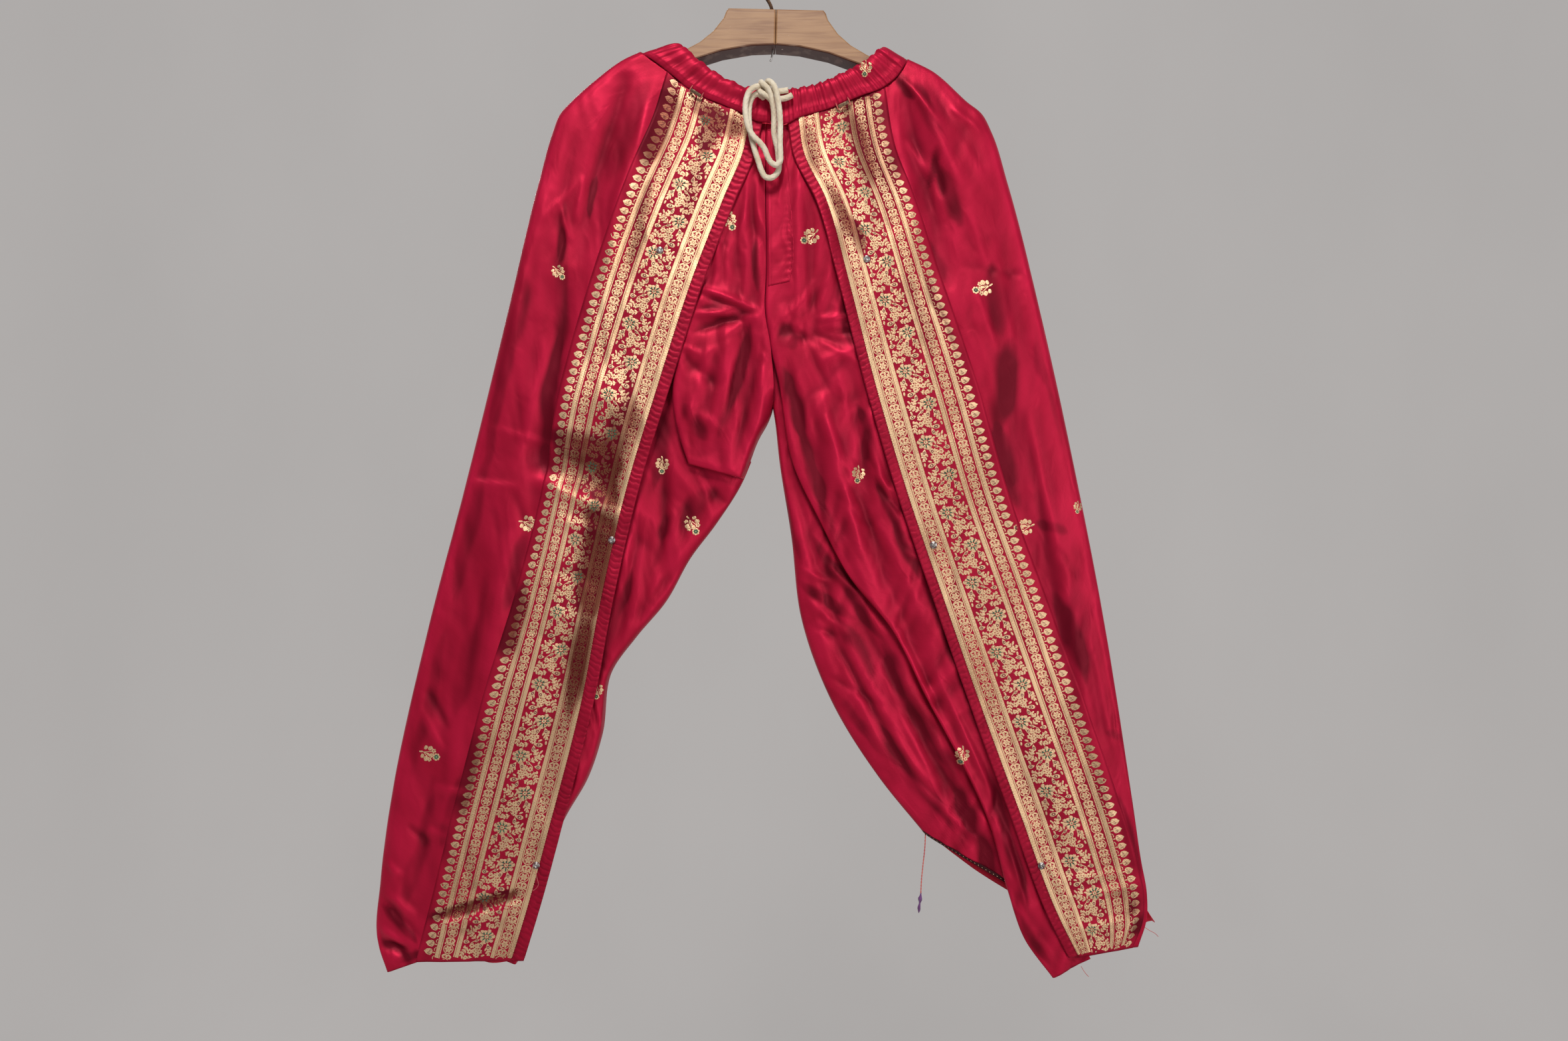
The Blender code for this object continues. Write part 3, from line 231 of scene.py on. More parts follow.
FOLDS_FRONT_RIGHT = [
    (22, -190, 26, -400, 6, 2.5), (34, -250, 40, -420, 6, -2.5), (2, -395, 70, -408, 6, -2.5),
    (40, -430, 96, -410, 6, 2.5), (10, -420, 60, -600, 8, -3), (40, -460, 110, -690, 9, 3.5),
    (78, -430, 100, -640, 8, -3.5), (95, -600, 190, -840, 9, -4), (115, -690, 215, -900, 8, 3.5),
    (150, -640, 185, -740, 8, -2.5), (205, -800, 262, -990, 6, -3), (47, -456, 66, -544, 4, 2.2),
    (66, -540, 88, -630, 4, 2.2), (92, -502, 134, -618, 3, 2), (97, -539, 131, -571, 2.5, 1.8),
    (101, -554, 136, -590, 2.5, -1.8), (16, -420, 40, -520, 4, 1.8), (40, -384, 86, -380, 2.5, 1.6),
    (46, -396, 90, -398, 2.5, -1.6), (170, -760, 226, -880, 3, 2), (234, -900, 262, -1010, 3, 2),
    (26, -300, 28, -440, 2, -0.9), (20, -392, 92, -432, 3, 1.3), (26, -398, 60, -470, 3, -1.2),
    (40, -470, 84, -560, 5, 1.7), (60, -520, 118, -640, 4, -1.6), (70, -606, 128, -742, 4, 1.4),
    (96, -470, 108, -560, 4, 1.4), (112, -520, 126, -620, 4, -1.3), (104, -590, 158, -700, 6, 1.8),
    (128, -700, 176, -800, 4, -1.4), (150, -720, 214, -860, 5, 1.4), (60, -560, 96, -600, 3, -1.2),
    (80, -700, 132, -728, 2.5, -1.2), (180, -820, 236, -930, 5, 1.5), (196, -860, 250, -1000, 4, -1.3),
    (214, -860, 268, -1010, 4, 1.2), (236, -960, 296, -1050, 4, -1.2), (120, -560, 152, -612, 3, -1),
    (126, -584, 150, -590, 3, 1), (126, -604, 152, -612, 3, -1), (128, -622, 156, -632, 3, 1),
]
FOLDS_LEG = [
    (-128, -500, -180, -740, 7, 3.5), (-115, -520, -118, -660, 6, -3.5), (-95, -560, -140, -705, 8, 3),
    (-70, -560, -45, -575, 8, -3), (-90, -630, -150, -700, 7, -3), (-190, -780, -215, -900, 7, 3),
    (-132, -560, -150, -700, 4, 1.4), (-108, -580, -150, -720, 4, -1.3), (-80, -590, -112, -650, 3, 1.2),
    (-62, -560, -44, -572, 3, 1), (-96, -640, -134, -690, 3, 1.2), (-150, -690, -178, -760, 4, 1.3),
    (-176, -760, -200, -850, 4, -1.3), (-140, -600, -166, -740, 4, -1.2), (-92, -560, -96, -620, 3, -1.2),
    (-200, -850, -228, -960, 4, 1.2), (-218, -900, -244, -1010, 4, -1.1), (-170, -800, -186, -806, 3, 1.2),
]
FOLDS_DRAPE = [
    (12, -560, 60, -730, 7, 3), (25, -640, 110, -820, 8, -3), (60, -700, 170, -890, 7, 3),
    (80, -690, 205, -900, 8, -3), (120, -740, 235, -930, 7, 3), (50, -780, 130, -880, 8, -2.5),
    (49, -633, 86, -670, 3, 2), (84, -668, 113, -712, 3, 2), (29, -670, 76, -711, 3, 2),
    (55, -711, 117, -842, 4, 2.4), (70, -722, 144, -868, 4, -2.4), (102, -732, 181, -900, 4, 2.2),
    (150, -780, 214, -900, 3, -2), (22, -640, 58, -656, 2.5, 1.8), (130, -850, 210, -925, 3, 1.8),
    (4, -500, 12, -620, 4, 1.2), (20, -620, 62, -760, 4, 1.5), (30, -600, 84, -760, 4, -1.4),
    (16, -540, 40, -640, 4, -1.2), (60, -700, 108, -790, 3, 1.2), (70, -660, 130, -770, 4, -1.3),
    (52, -770, 120, -862, 4, 1.2), (90, -780, 190, -900, 4, 1.5), (110, -760, 210, -905, 4, -1.4),
    (36, -700, 64, -712, 3, -1.6), (48, -748, 120, -790, 3, -1.3), (140, -800, 226, -922, 4, 1.2),
    (160, -860, 236, -950, 4, -1.2), (176, -820, 228, -880, 4, 1.2), (18, -690, 28, -740, 3, 1.3),
]
FOLDS_BACK_LEFT = [
    (-60, -200, -120, -420, 14, 4), (-100, -190, -190, -420, 13, -4), (-30, -200, -40, -400, 12, -3.5),
    (-150, -200, -240, -430, 13, 4), (-60, -470, -200, -700, 16, -4), (-110, -480, -250, -760, 15, 4.5),
    (-190, -520, -300, -860, 16, -4), (-250, -700, -350, -980, 15, 4), (-220, -820, -300, -1010, 13, -3.5),
    (-20, -195, -52, -330, 6, 1.5), (-64, -175, -130, -330, 6, -1.6), (-120, -150, -205, -330, 6, 1.6),
    (-90, -470, -60, -500, 5, -1.4), (-30, -470, -120, -560, 6, 1.6), (-40, -500, -160, -660, 5, -1.5),
    (-200, -560, -270, -760, 7, 1.5), (-240, -640, -330, -900, 6, -1.5), (-300, -860, -370, -1020, 6, 1.6),
]
FOLDS_BACK_RIGHT = [
    (60, -200, 110, -420, 14, 4), (100, -190, 180, -420, 13, -4), (28, -210, 36, -400, 12, -3.5),
    (150, -200, 225, -430, 13, 4), (40, -500, 130, -760, 15, 4.5), (80, -470, 200, -780, 15, -4.5),
    (130, -470, 260, -840, 15, 4.5), (190, -500, 310, -900, 15, -4), (90, -760, 200, -930, 12, -3.5),
    (230, -780, 340, -990, 13, 4), (22, -195, 50, -330, 6, 1.5), (64, -175, 125, -330, 6, -1.6),
    (120, -150, 190, -330, 6, 1.6), (20, -480, 90, -620, 6, 1.6), (40, -560, 120, -740, 5, -1.5),
    (150, -520, 250, -760, 7, 1.5), (200, -640, 300, -880, 6, -1.5), (260, -860, 350, -1000, 6, 1.6),
    (110, -760, 190, -900, 5, 1.4),
]

# ---------------------------------------------------------------- zones of shade
# a line as above, then its half width and its amount
# painted shade on the gold, which darkens it towards copper-brown
PAINTED_SHADE_GOLD_LEFT = [
    (-150, -455, -174, -560, 16, 0.42), (-172, -540, -190, -690, 19, 0.55),
    (-190, -640, -214, -800, 11, 0.46), (-238, -500, -152, -538, 17, 0.6),
    (-256, -650, -282, -735, 10, 0.42), (-302, -800, -328, -900, 10, 0.28),
    (-358, -1000, -262, -970, 6, 0.4), (-104, -132, -138, -230, 14, 0.5), (-60, -162, -80, -215, 13, 0.42),
    (-196, -690, -204, -760, 6, 0.2), (-96, -158, -28, -194, 12, 0.45), (-70, -196, -96, -300, 9, 0.26),
    (-128, -236, -150, -330, 8, 0.3),
]
PAINTED_SHADE_GOLD_RIGHT = [
    (98, -142, 122, -262, 13, 0.36), (52, -240, 92, -322, 7, 0.5), (26, -178, 44, -240, 8, 0.3),
    (128, -330, 160, -430, 10, 0.2), (370, -975, 372, -1020, 9, 0.4), (205, -790, 236, -870, 8, 0.15),
    (72, -158, 100, -250, 10, 0.34), (34, -172, 110, -150, 6, 0.3), (150, -330, 184, -420, 5, 0.3),
]
# where the silk of the fronts lies in shade
PAINTED_SHADE_SILK = [
    (-130, -136, -172, -245, 13, 0.16), (-182, -236, -192, -282, 4, 0.4), (-220, -262, -224, -330, 5, 0.3),
    (-221, -285, -221, -430, 8, 0.26), (-222, -400, -240, -552, 11, 0.40), (-250, -290, -300, -540, 9, 0.34),
    (-296, -520, -330, -680, 8, 0.24), (-258, -600, -280, -690, 8, 0.26), (-300, -680, -332, -800, 9, 0.12),
    (-340, -700, -372, -850, 8, 0.18), (-352, -870, -384, -1000, 8, 0.16),
    (-404, -984, -368, -1028, 5, 0.42), (-396, -1046, -362, -1034, 5, 0.34),
    (-322, -850, -345, -930, 7, 0.24), (122, -128, 142, -160, 7, 0.4), (142, -140, 172, -206, 8, 0.36),
    (172, -200, 156, -250, 6, 0.32), (170, -224, 190, -292, 7, 0.36), (150, -300, 172, -350, 9, 0.24),
    (222, -322, 230, -404, 9, 0.3), (240, -400, 228, -505, 12, 0.36), (226, -490, 244, -556, 10, 0.34),
    (206, -480, 246, -580, 9, 0.34), (262, -385, 306, -552, 7, 0.28), (262, -592, 300, -604, 5, 0.2),
    (215, -380, 318, -790, 26, 0.13), (300, -640, 350, -900, 16, 0.1), (284, -662, 320, -760, 9, 0.32),
    (300, -800, 340, -850, 8, 0.25), (338, -806, 362, -816, 4, 0.18), (352, -870, 374, -960, 7, 0.3),
    (-20, -300, -15, -358, 4, 0.36), (-78, -372, -40, -381, 8, 0.3), (-26, -385, -44, -476, 7, 0.36),
    (-40, -436, -58, -508, 6, 0.26), (-70, -510, -96, -470, 8, 0.26), (-112, -470, -128, -560, 8, 0.4),
    (-60, -556, -124, -610, 10, 0.3), (-150, -640, -186, -760, 7, 0.28), (0, -386, 20, -416, 9, 0.3),
    (6, -428, 30, -508, 8, 0.46), (26, -494, 48, -582, 7, 0.42), (44, -570, 66, -628, 6, 0.36),
    (84, -470, 102, -540, 6, 0.36), (98, -530, 150, -660, 6, 0.4), (150, -655, 214, -820, 5, 0.3),
    (214, -840, 262, -1000, 6, 0.4), (64, -340, 84, -430, 5, 0.3), (38, -606, 112, -716, 7, 0.42),
    (108, -706, 184, -856, 8, 0.42), (180, -846, 234, -985, 9, 0.42), (20, -652, 84, -694, 6, 0.36),
    (66, -690, 110, -770, 8, 0.36), (50, -760, 128, -850, 7, 0.26), (106, -800, 190, -920, 6, 0.28),
    (10, -560, 28, -640, 4, 0.3), (236, -980, 286, -1054, 6, 0.3),
]


# ---------------------------------------------------------------- curves and noise
CURVE_STEPS = 1600        # points of a smooth curve before it is read
NOISE_CELLS = 61          # of the noise lattice, each way
MARGIN_DEPTH = 22.0       # the depth that margin tables are read at
MIN_REACH = 0.02          # how near the middle plane cloth may come
FOLD_DEPTH = 3.0          # how far below the cloth around it a trough lies


def way_along(line: Array) -> Array:
    """How far along a line of points each point is."""
    return np.concatenate([[0], np.cumsum(np.linalg.norm(np.diff(line, axis=0), axis=1))])


def smooth_curve(points: Table | Array, shares: Array) -> Array:
    """Points along the smooth curve through the rows of a table.

    Between two rows the curve is the cubic that has the table's own slopes at both, and it is read at
    even shares of its length.

    Args:
        points: rows of two or three numbers.
        shares: shares of the curve's length, from 0 to 1.

    Returns:
        One row of numbers for each share.
    """
    knots = np.array(points, float)
    chord = way_along(knots)
    slope = np.gradient(knots, chord, axis=0)
    fine = np.linspace(0, chord[-1], CURVE_STEPS)
    i = np.clip(np.searchsorted(chord, fine, side="right") - 1, 0, len(chord) - 2)
    step = (chord[i + 1] - chord[i])[:, None]
    t = (fine - chord[i])[:, None] / step
    line = ((2 * t**3 - 3 * t**2 + 1) * knots[i] + (t**3 - 2 * t**2 + t) * step * slope[i]
            + (3 * t**2 - 2 * t**3) * knots[i + 1] + (t**3 - t**2) * step * slope[i + 1])
    along = way_along(line)
    at = np.asarray(shares, float) * along[-1]
    return np.stack([np.interp(at, along, line[:, k]) for k in range(line.shape[1])], axis=1)


def height_at(table: Table, x: Array) -> Array:
    """The z of the smooth curve through a table of (x, z), read from left to right."""
    line = smooth_curve(sorted(table), np.linspace(0, 1, 400))
    return np.interp(x, line[:, 0], line[:, 1])


def mirrored(columns: Table) -> Table:
    """A margin table turned round, for the other edge of a panel."""
    return [(1 - across, share) for across, share in reversed(columns)]


def even(first: float, last: float, count: int) -> Table:
    """Rows or columns of full depth, evenly spaced."""
    return [(share, 1.0) for share in np.linspace(first, last, count)]


def inset(edge: Table, by: float) -> Table:
    """An edge table moved sideways."""
    return [(x + by, z) for x, z in edge]


def beside(x: Array, z: Array, line: list[float]) -> tuple[Array, Array]:
    """How places lie about a straight line.

    Args:
        x, z: the places.
        line: x and z of its start, then of its end.

    Returns:
        How far along it each place is, as a share of its length, and how far to its side.
    """
    x0, z0, x1, z1 = line
    along = np.array([x1 - x0, z1 - z0], float)
    length = np.hypot(*along)
    along /= length
    share = ((x - x0) * along[0] + (z - z0) * along[1]) / length
    return share, (x - x0) * along[1] - (z - z0) * along[0]


def fold_rise(x: Array, z: Array, folds: Table) -> Array:
    """The sum of soft ridges: each is its rise, times a bell across its line, faded towards both ends.

    Args:
        x, z: the places.
        folds: each ridge's line, half width and rise.

    Returns:
        The height at each place.
    """
    rise = np.zeros_like(x)
    for *line, half, height in folds:
        share, off = beside(x, z, line)
        rise += height * np.clip(1 - np.abs(2 * share - 1) ** 3, 0, 1) * np.exp(-((off / (half + 0.7)) ** 2))
    return rise


def lattice_noise(u: Array, v: Array, seed: int) -> Array:
    """Smooth noise from 0 to 1: seeded numbers on a lattice, blended by a cubic step between its points.

    Args:
        u, v: places, in cells of the lattice.
        seed: of its numbers.

    Returns:
        The noise at each place.
    """
    draw = np.random.default_rng(seed).uniform(0, 1, (NOISE_CELLS, NOISE_CELLS))
    i, j = np.floor(u).astype(int), np.floor(v).astype(int)
    fu, fv = u - i, v - j
    su, sv = fu * fu * (3 - 2 * fu), fv * fv * (3 - 2 * fv)
    i0, i1, j0, j1 = i % NOISE_CELLS, (i + 1) % NOISE_CELLS, j % NOISE_CELLS, (j + 1) % NOISE_CELLS
    near = draw[i0, j0] * (1 - su) + draw[i1, j0] * su
    return near * (1 - sv) + (draw[i0, j1] * (1 - su) + draw[i1, j1] * su) * sv


def shade(x: Array, z: Array, zones: Table) -> Array:
    """How far each place lies in a zone of shade: even across the zone, with a quick and wandering edge.

    Args:
        x, z: the places.
        zones: each zone's line, half width and amount.

    Returns:
        The sum of the amounts at each place.
    """
    wandered = x + 9.0 * (lattice_noise(x / 17.0 + 40, z / 33.0 + 40, 5) - 0.5)
    amount = np.zeros_like(x)
    for *line, half, height in zones:
        share, off = beside(wandered, z, line)
        width = half * np.clip(1.2 - np.abs(2 * share - 1) ** 2, 0.1, 1)
        amount += height * np.clip(1 - np.abs(2 * share - 1) ** 5, 0, 1) * np.exp(-(off / width) ** 4)
    return amount


def margin(table: Table, count: int, width: float, deep: float) -> Array:
    """A margin table made fine.

    The table is a line in the plane of real width and depth, read at even steps of its smooth curve, so
    that a turned edge gets as many rows or columns as its length needs.

    Args:
        table: rows of place across and share of the depth.
        count: how many rows to make.
        width, deep: the real sizes that both columns are shares of.

    Returns:
        Rows of place across, share of the depth and place in the table.
    """
    rows = np.array([(across * width, share * deep, k * 1e-5) for k, (across, share) in enumerate(table)])
    fine = smooth_curve(rows, np.linspace(0, 1, count))
    return fine / [width, deep, 1e-5]


def random_streaks(x: Array, z: Array, seed: int, count: int, lean: float, rise: float) -> Array:
    """Fine creases of silk: short low ridges near one direction, drawn over the whole of one leg.

    Pieces of one leg that share a seed share their creases, so that these run on across a seam.

    Args:
        x, z: places of the grid.
        seed: of the generator.
        count: how many ridges.
        lean: their main direction, in degrees from straight down, towards +X.
        rise: the usual height of one.

    Returns:
        The height of the creases at each place.
    """
    draw = np.random.default_rng(seed)
    side = -1.0 if x.mean() < 0 else 1.0
    start = draw.uniform((0, -1060), (420, -110), (count, 2)) * [side, 1]
    angle = np.radians(draw.normal(lean, 17, count))
    length = draw.uniform(30, 130, count)
    ends = start + np.stack([np.sin(angle), -np.cos(angle)], axis=1) * length[:, None]
    half, height = draw.uniform(2.2, 6.5, count), draw.normal(0, rise, count)
    lines = np.column_stack([start, ends, half, height])
    reach = 140
    first, last = [x.min() - reach, z.min() - reach], [x.max() + reach, z.max() + reach]
    near = ((start > first) & (start < last)).all(axis=1)
    return fold_rise(x, z, lines[near].tolist())


def crumple(x: Array, z: Array, seed: int, lean: float, rise: float) -> Array:
    """Creased silk: flat planes that meet in narrow ridges, at three sizes, drawn out along one direction.

    Each size is a triangle wave across that direction, rounded over 4 mm, whose place is bent by noise and
    whose height comes and goes with other noise, so that a crease starts, wanders and dies away.

    Args:
        x, z: places of the grid.
        seed: of the noise.
        lean: the direction of the creases, in degrees from straight down, towards +X.
        rise: the height of the largest.

    Returns:
        The height of the creases at each place.
    """
    turn = math.radians(lean)
    across, along = x * math.cos(turn) + z * math.sin(turn), x * math.sin(turn) - z * math.cos(turn)
    total = np.zeros_like(x)
    for k, (wide, long, share) in enumerate(((52, 150, 1.0), (24, 66, 0.55), (13, 34, 0.22))):
        u, v = across / wide + 7.3, along / long + 3.1
        bent = u + 2.2 * (lattice_noise(0.8 * u, v, seed + 10 * k) - 0.5)
        strength = np.clip(2.2 * lattice_noise(0.8 * u + 4, 1.1 * v, seed + 10 * k + 1) - 0.55, 0, 1)
        away, soft = bent - np.round(bent), 4.0 / wide
        wave = np.sqrt(away**2 + soft**2) - np.sqrt((0.5 - np.abs(away)) ** 2 + soft**2)
        total += share * strength * wave
    return rise * total


def blurred(grid: Array, times: int) -> Array:
    """A grid with each value mixed with its neighbours' along both directions.

    Args:
        grid: values or points.
        times: how often it is done.

    Returns:
        The grid, smoother.
    """
    for _ in range(times):
        for axis in (0, 1):
            grid = np.swapaxes(grid, 0, axis)
            before, after = np.concatenate([grid[:1], grid[:-1]]), np.concatenate([grid[1:], grid[-1:]])
            grid = np.swapaxes(0.25 * before + 0.5 * grid + 0.25 * after, 0, axis)
    return grid


# ---------------------------------------------------------------- surfaces
@dataclass
class Surface:
    """A grid of points in millimetres with its outward normals and flat-cloth coordinates."""
    points: Array
    # zones of painted shade, added to the hollow
    dull: Array | float = 0.0
    normals: Array = field(init=False)
    flat: Array = field(init=False)
    hollow: Array = field(init=False)

    def __post_init__(self) -> None:
        """Normals are the cross product of the grid's two directions; flat lengths are summed along each.

        The hollow is how deep each point lies in a fold, from 0 on a ridge to 1 in a trough: its distance
        below the mean of the points around it, over a trough's depth, added to a half and to `dull`, the
        zones of painted shade. The finishes darken the cloth by the hollow, as painted shade in folds.
        """
        across = np.gradient(self.points, axis=1)
        down = np.gradient(self.points, axis=0)
        normal = np.cross(down, across)
        self.normals = normal / np.maximum(np.linalg.norm(normal, axis=2, keepdims=True), 1e-9)
        u = np.cumsum(np.linalg.norm(across, axis=2), axis=1)
        v = np.cumsum(np.linalg.norm(down, axis=2), axis=0)
        self.flat = np.stack([u, v], axis=2)
        below = ((blurred(self.points, 10) - self.points) * self.normals).sum(axis=2)
        self.hollow = np.clip(0.5 + blurred(below, 2) / FOLD_DEPTH + self.dull, 0, 1)

    def at(self, row: Array, column: Array) -> tuple[Array, Array]:
        """Points and normals between the grid's own, by weighting the four nearest.

        Args:
            row, column: places as shares of the grid, from 0 to 1.

        Returns:
            The points and the normals.
        """
        rows, columns = self.points.shape[:2]
        r, c = np.clip(row, 0, 1) * (rows - 1.001), np.clip(column, 0, 1) * (columns - 1.001)
        i, j = r.astype(int), c.astype(int)
        fr, fc = (r - i)[..., None], (c - j)[..., None]
        pair = []
        for grid in (self.points, self.normals):
            upper = grid[i, j] * (1 - fc) + grid[i, j + 1] * fc
            lower = grid[i + 1, j] * (1 - fc) + grid[i + 1, j + 1] * fc
            pair.append(upper * (1 - fr) + lower * fr)
        return pair[0], pair[1]

    def front_at(self, x: Array, z: Array, reach: float) -> tuple[Array, Array]:
        """Points and normals on the cloth under (x, z), each on the plane that touches the nearest point.

        Args:
            x, z: the places.
            reach: how far from their middle the cloth is searched.

        Returns:
            The points and the normals.
        """
        near = np.hypot(self.points[..., 0] - x.mean(), self.points[..., 2] - z.mean()) < reach
        sign = np.sign(np.median(self.points[near][:, 1])) or -1.0
        near &= self.normals[..., 1] * sign > 0.2
        around, facing = self.points[near], self.normals[near]
        away = (x.ravel()[:, None] - around[:, 0]) ** 2 + (z.ravel()[:, None] - around[:, 2]) ** 2
        nearest = away.argmin(axis=1).reshape(x.shape)
        base, normal = around[nearest], facing[nearest]
        slant = (x - base[..., 0]) * normal[..., 0] + (z - base[..., 2]) * normal[..., 2]
        return np.stack([x, base[..., 1] - slant / normal[..., 1], z], axis=-1), normal


class Covered(Enum):
    """Which edge of a panel lies under its neighbour, where its ridges stay low."""
    NONE = 0
    LEFT = 1
    RIGHT = 2


@dataclass(frozen=True)
class Loft:
    """A piece of cloth between two edges, with margins that turn in and folds that rise from it."""
    left: Table
    right: Table
    columns: Table
    depth: Table
    rows: Table = field(default_factory=lambda: [(0.0, 1.0), (1.0, 1.0)])
    folds: Table = ()
    behind: bool = False
    seam_until: float = 0.0
    seam_columns: int = 0
    top: Table | None = None
    hem: Table | None = None
    hem_margin: float = 0.12
    streaks: tuple[int, int, float, float] | None = None
    crushed: tuple[int, float, float] | None = None
    covered: Covered = Covered.NONE
    width: float = 100.0
    length: float = 900.0
    proud: float = 0.0
    # zones of painted shade, added to the hollow that the finishes darken by
    painted_shade_zones: Table = ()

    def spread(self, across: Array, down: Array) -> tuple[Array, Array]:
        """The grid's x and z: rows between both edges, drawn to the waist's curve and to the hem's.

        Args:
            across, down: shares of the columns and of the rows.

        Returns:
            x and z of each point.
        """
        first, last = smooth_curve(self.left, down), smooth_curve(self.right, down)
        flat = first[:, None] + across[None, :, None] * (last - first)[:, None]
        x, z = flat[..., 0], flat[..., 1].copy()
        if self.top:
            from_side = np.clip((np.abs(x[0]).max() - np.abs(x[0])) / 25.0, 0, 1)
            lap = WAIST_LAP + (BACK_LAP - WAIST_LAP) * from_side if self.behind else WAIST_LAP
            z += (height_at(self.top, x[0]) + lap - z[0]) * np.clip(1 - down / 0.15, 0, 1)[:, None] ** 2
        if self.hem:
            near = np.clip((down - 1 + self.hem_margin) / self.hem_margin, 0, 1)[:, None] ** 2
            z += (height_at(self.hem, x) - height_at([self.left[-1], self.right[-1]], x)) * near
        return x, z

    def turned_in(self, cols: Array, rows: Array) -> Array:
        """The share of the depth that the margins leave at each point, open below a seam's foot.

        Args:
            cols, rows: the margins made fine.

        Returns:
            The share, which is 1 away from the margins.
        """
        column_turn = np.tile(1 - cols[:, 1], (len(rows), 1))
        if self.seam_columns:
            open_below = np.clip((rows[:, 0] - self.seam_until) / 0.05, 0, 1)[:, None]
            edge = np.clip(cols[:, 2] - (len(self.columns) - self.seam_columns - 1), 0, 1)
            column_turn *= 1 - edge * (1 - open_below)
        row_turn = (1 - rows[:, 1])[:, None]
        both = np.maximum(np.minimum(column_turn, row_turn), 0)
        return 1 - np.maximum(column_turn, row_turn) - 0.3 * both

    def lift(self, x: Array, z: Array, across: Array, down: Array) -> Array:
        """Folds and creases, kept low where a neighbour covers them and where a back meets its casing.

        Args:
            x, z: places of the grid.
            across, down: shares of the columns and of the rows.

        Returns:
            The height at each place.
        """
        lift = fold_rise(x, z, self.folds)
        if self.streaks:
            lift += random_streaks(x, z, *self.streaks)
        if self.crushed:
            lift += crumple(x, z, *self.crushed)
        if self.covered is not Covered.NONE:
            from_edge = across if self.covered is Covered.LEFT else 1 - across
            lift = np.where(lift > 0, lift * np.clip(from_edge * 4, 0.15, 1)[None, :], lift)
        if self.behind:
            lift = lift * np.clip(down / 0.025, 0.1, 1)[:, None]
        return lift

    def surface(self, across: int, down: int) -> Surface:
        """The cloth's outer surface as a grid.

        Its distance from the middle plane is the depth, less what the margins turn in, plus the folds.

        Args:
            across, down: how many columns and rows.

        Returns:
            The surface, its columns running so that it faces out.
        """
        cols = margin(self.columns, across, self.width, MARGIN_DEPTH)
        rows = margin(self.rows, down, self.length, MARGIN_DEPTH)
        x, z = self.spread(cols[:, 0], rows[:, 0])
        share = self.turned_in(cols, rows)
        full = np.interp(rows[:, 0], *zip(*self.depth))[:, None]
        lift = self.lift(x, z, cols[:, 0], rows[:, 0])
        reach = np.maximum(full * share + lift * np.clip(share, 0, 1) ** 2 + self.proud, MIN_REACH)
        points = np.stack([x, reach if self.behind else -reach, z], axis=-1)
        runs_left = x[:, -1].mean() < x[:, 0].mean()
        return Surface(points[:, ::-1] if self.behind != runs_left else points, shade(x, z, self.painted_shade_zones))


# ---------------------------------------------------------------- meshes
def mesh_object(name: str, points: Array, faces: Array, finishes: list[Material],
                flat: Array | None = None, slots: Array | None = None,
                hollow: Array | None = None) -> Piece:
    """A mesh object at the origin from arrays.

    Args:
        name: of the object.
        points: (n, 3) in millimetres.
        faces: (m, 3) or (m, 4) indices.
        finishes: materials, in the order of slots.
        flat: (n, 2) flat-cloth coordinates in millimetres, kept as the UV map in decimetres.
        slots: (m,) which material each face has.
        hollow: (n,) how deep in a fold each point lies, kept as the attribute of that name.

    Returns:
        The object, in the scene.
    """
    mesh = bpy.data.meshes.new(name)
    mesh.vertices.add(len(points))
    mesh.vertices.foreach_set("co", (np.asarray(points, float) * MM).ravel())
    corners = faces.shape[1]
    mesh.loops.add(faces.size)
    mesh.loops.foreach_set("vertex_index", faces.ravel().astype(np.int32))
    mesh.polygons.add(len(faces))
    mesh.polygons.foreach_set("loop_start", np.arange(len(faces), dtype=np.int32) * corners)
    mesh.polygons.foreach_set("loop_total", np.full(len(faces), corners, np.int32))
    for finish in finishes:
        mesh.materials.append(finish)
    if slots is not None:
        mesh.polygons.foreach_set("material_index", slots.astype(np.int32))
    mesh.polygons.foreach_set("use_smooth", np.ones(len(faces), bool))
    mesh.update(calc_edges=True)
    if flat is not None:
        layer = mesh.uv_layers.new(name="flat")
        layer.data.foreach_set("uv", (flat[faces.ravel()] / 100.0).ravel())
    if hollow is not None:
        mesh.attributes.new("hollow", "FLOAT", "POINT").data.foreach_set("value", hollow.ravel())
    made = bpy.data.objects.new(name, mesh)
    bpy.context.scene.collection.objects.link(made)
    return made


def grid_faces(rows: int, columns: int, wrap: bool = False) -> Array:
    """Quads of a grid of points.

    Args:
        rows, columns: of the grid.
        wrap: whether the last column joins the first.

    Returns:
        (m, 4) indices.
    """
    index = np.arange(rows * columns).reshape(rows, columns)
    right = np.roll(index, -1, axis=1) if wrap else index[:, 1:]
    index = index if wrap else index[:, :-1]
    return np.stack([index[:-1], index[1:], right[1:], right[:-1]], axis=-1).reshape(-1, 4)


def halved(quads: Array) -> Array:
    """Each quad as two triangles."""
    return np.vstack([quads[:, [0, 1, 2]], quads[:, [0, 2, 3]]])


def unit(vectors: Array) -> Array:
    """Vectors at length 1."""
    return vectors / np.linalg.norm(vectors, axis=-1, keepdims=True)


def face_normals(points: Array, faces: Array) -> Array:
    """The cross product of each face's first two sides."""
    corners = points[faces]
    return np.cross(corners[:, 1] - corners[:, 0], corners[:, 2] - corners[:, 0])


def full_turn(count: int) -> Array:
    """Angles evenly round a circle."""
    return np.linspace(0, 2 * math.pi, count, endpoint=False)


def shown(made: Piece, slot: str, *nodes: str) -> Piece:
    """Finishes a piece: it rides on the body, and the solids that it stands for are hidden.

    Args:
        made: the piece.
        slot: not used.
        nodes: names of the solids.

    Returns:
        The piece.
    """
    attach(made, "root")
    if nodes:
        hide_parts(*nodes)
    log.info("%s: %d faces", made.name, len(made.data.polygons))
    return made


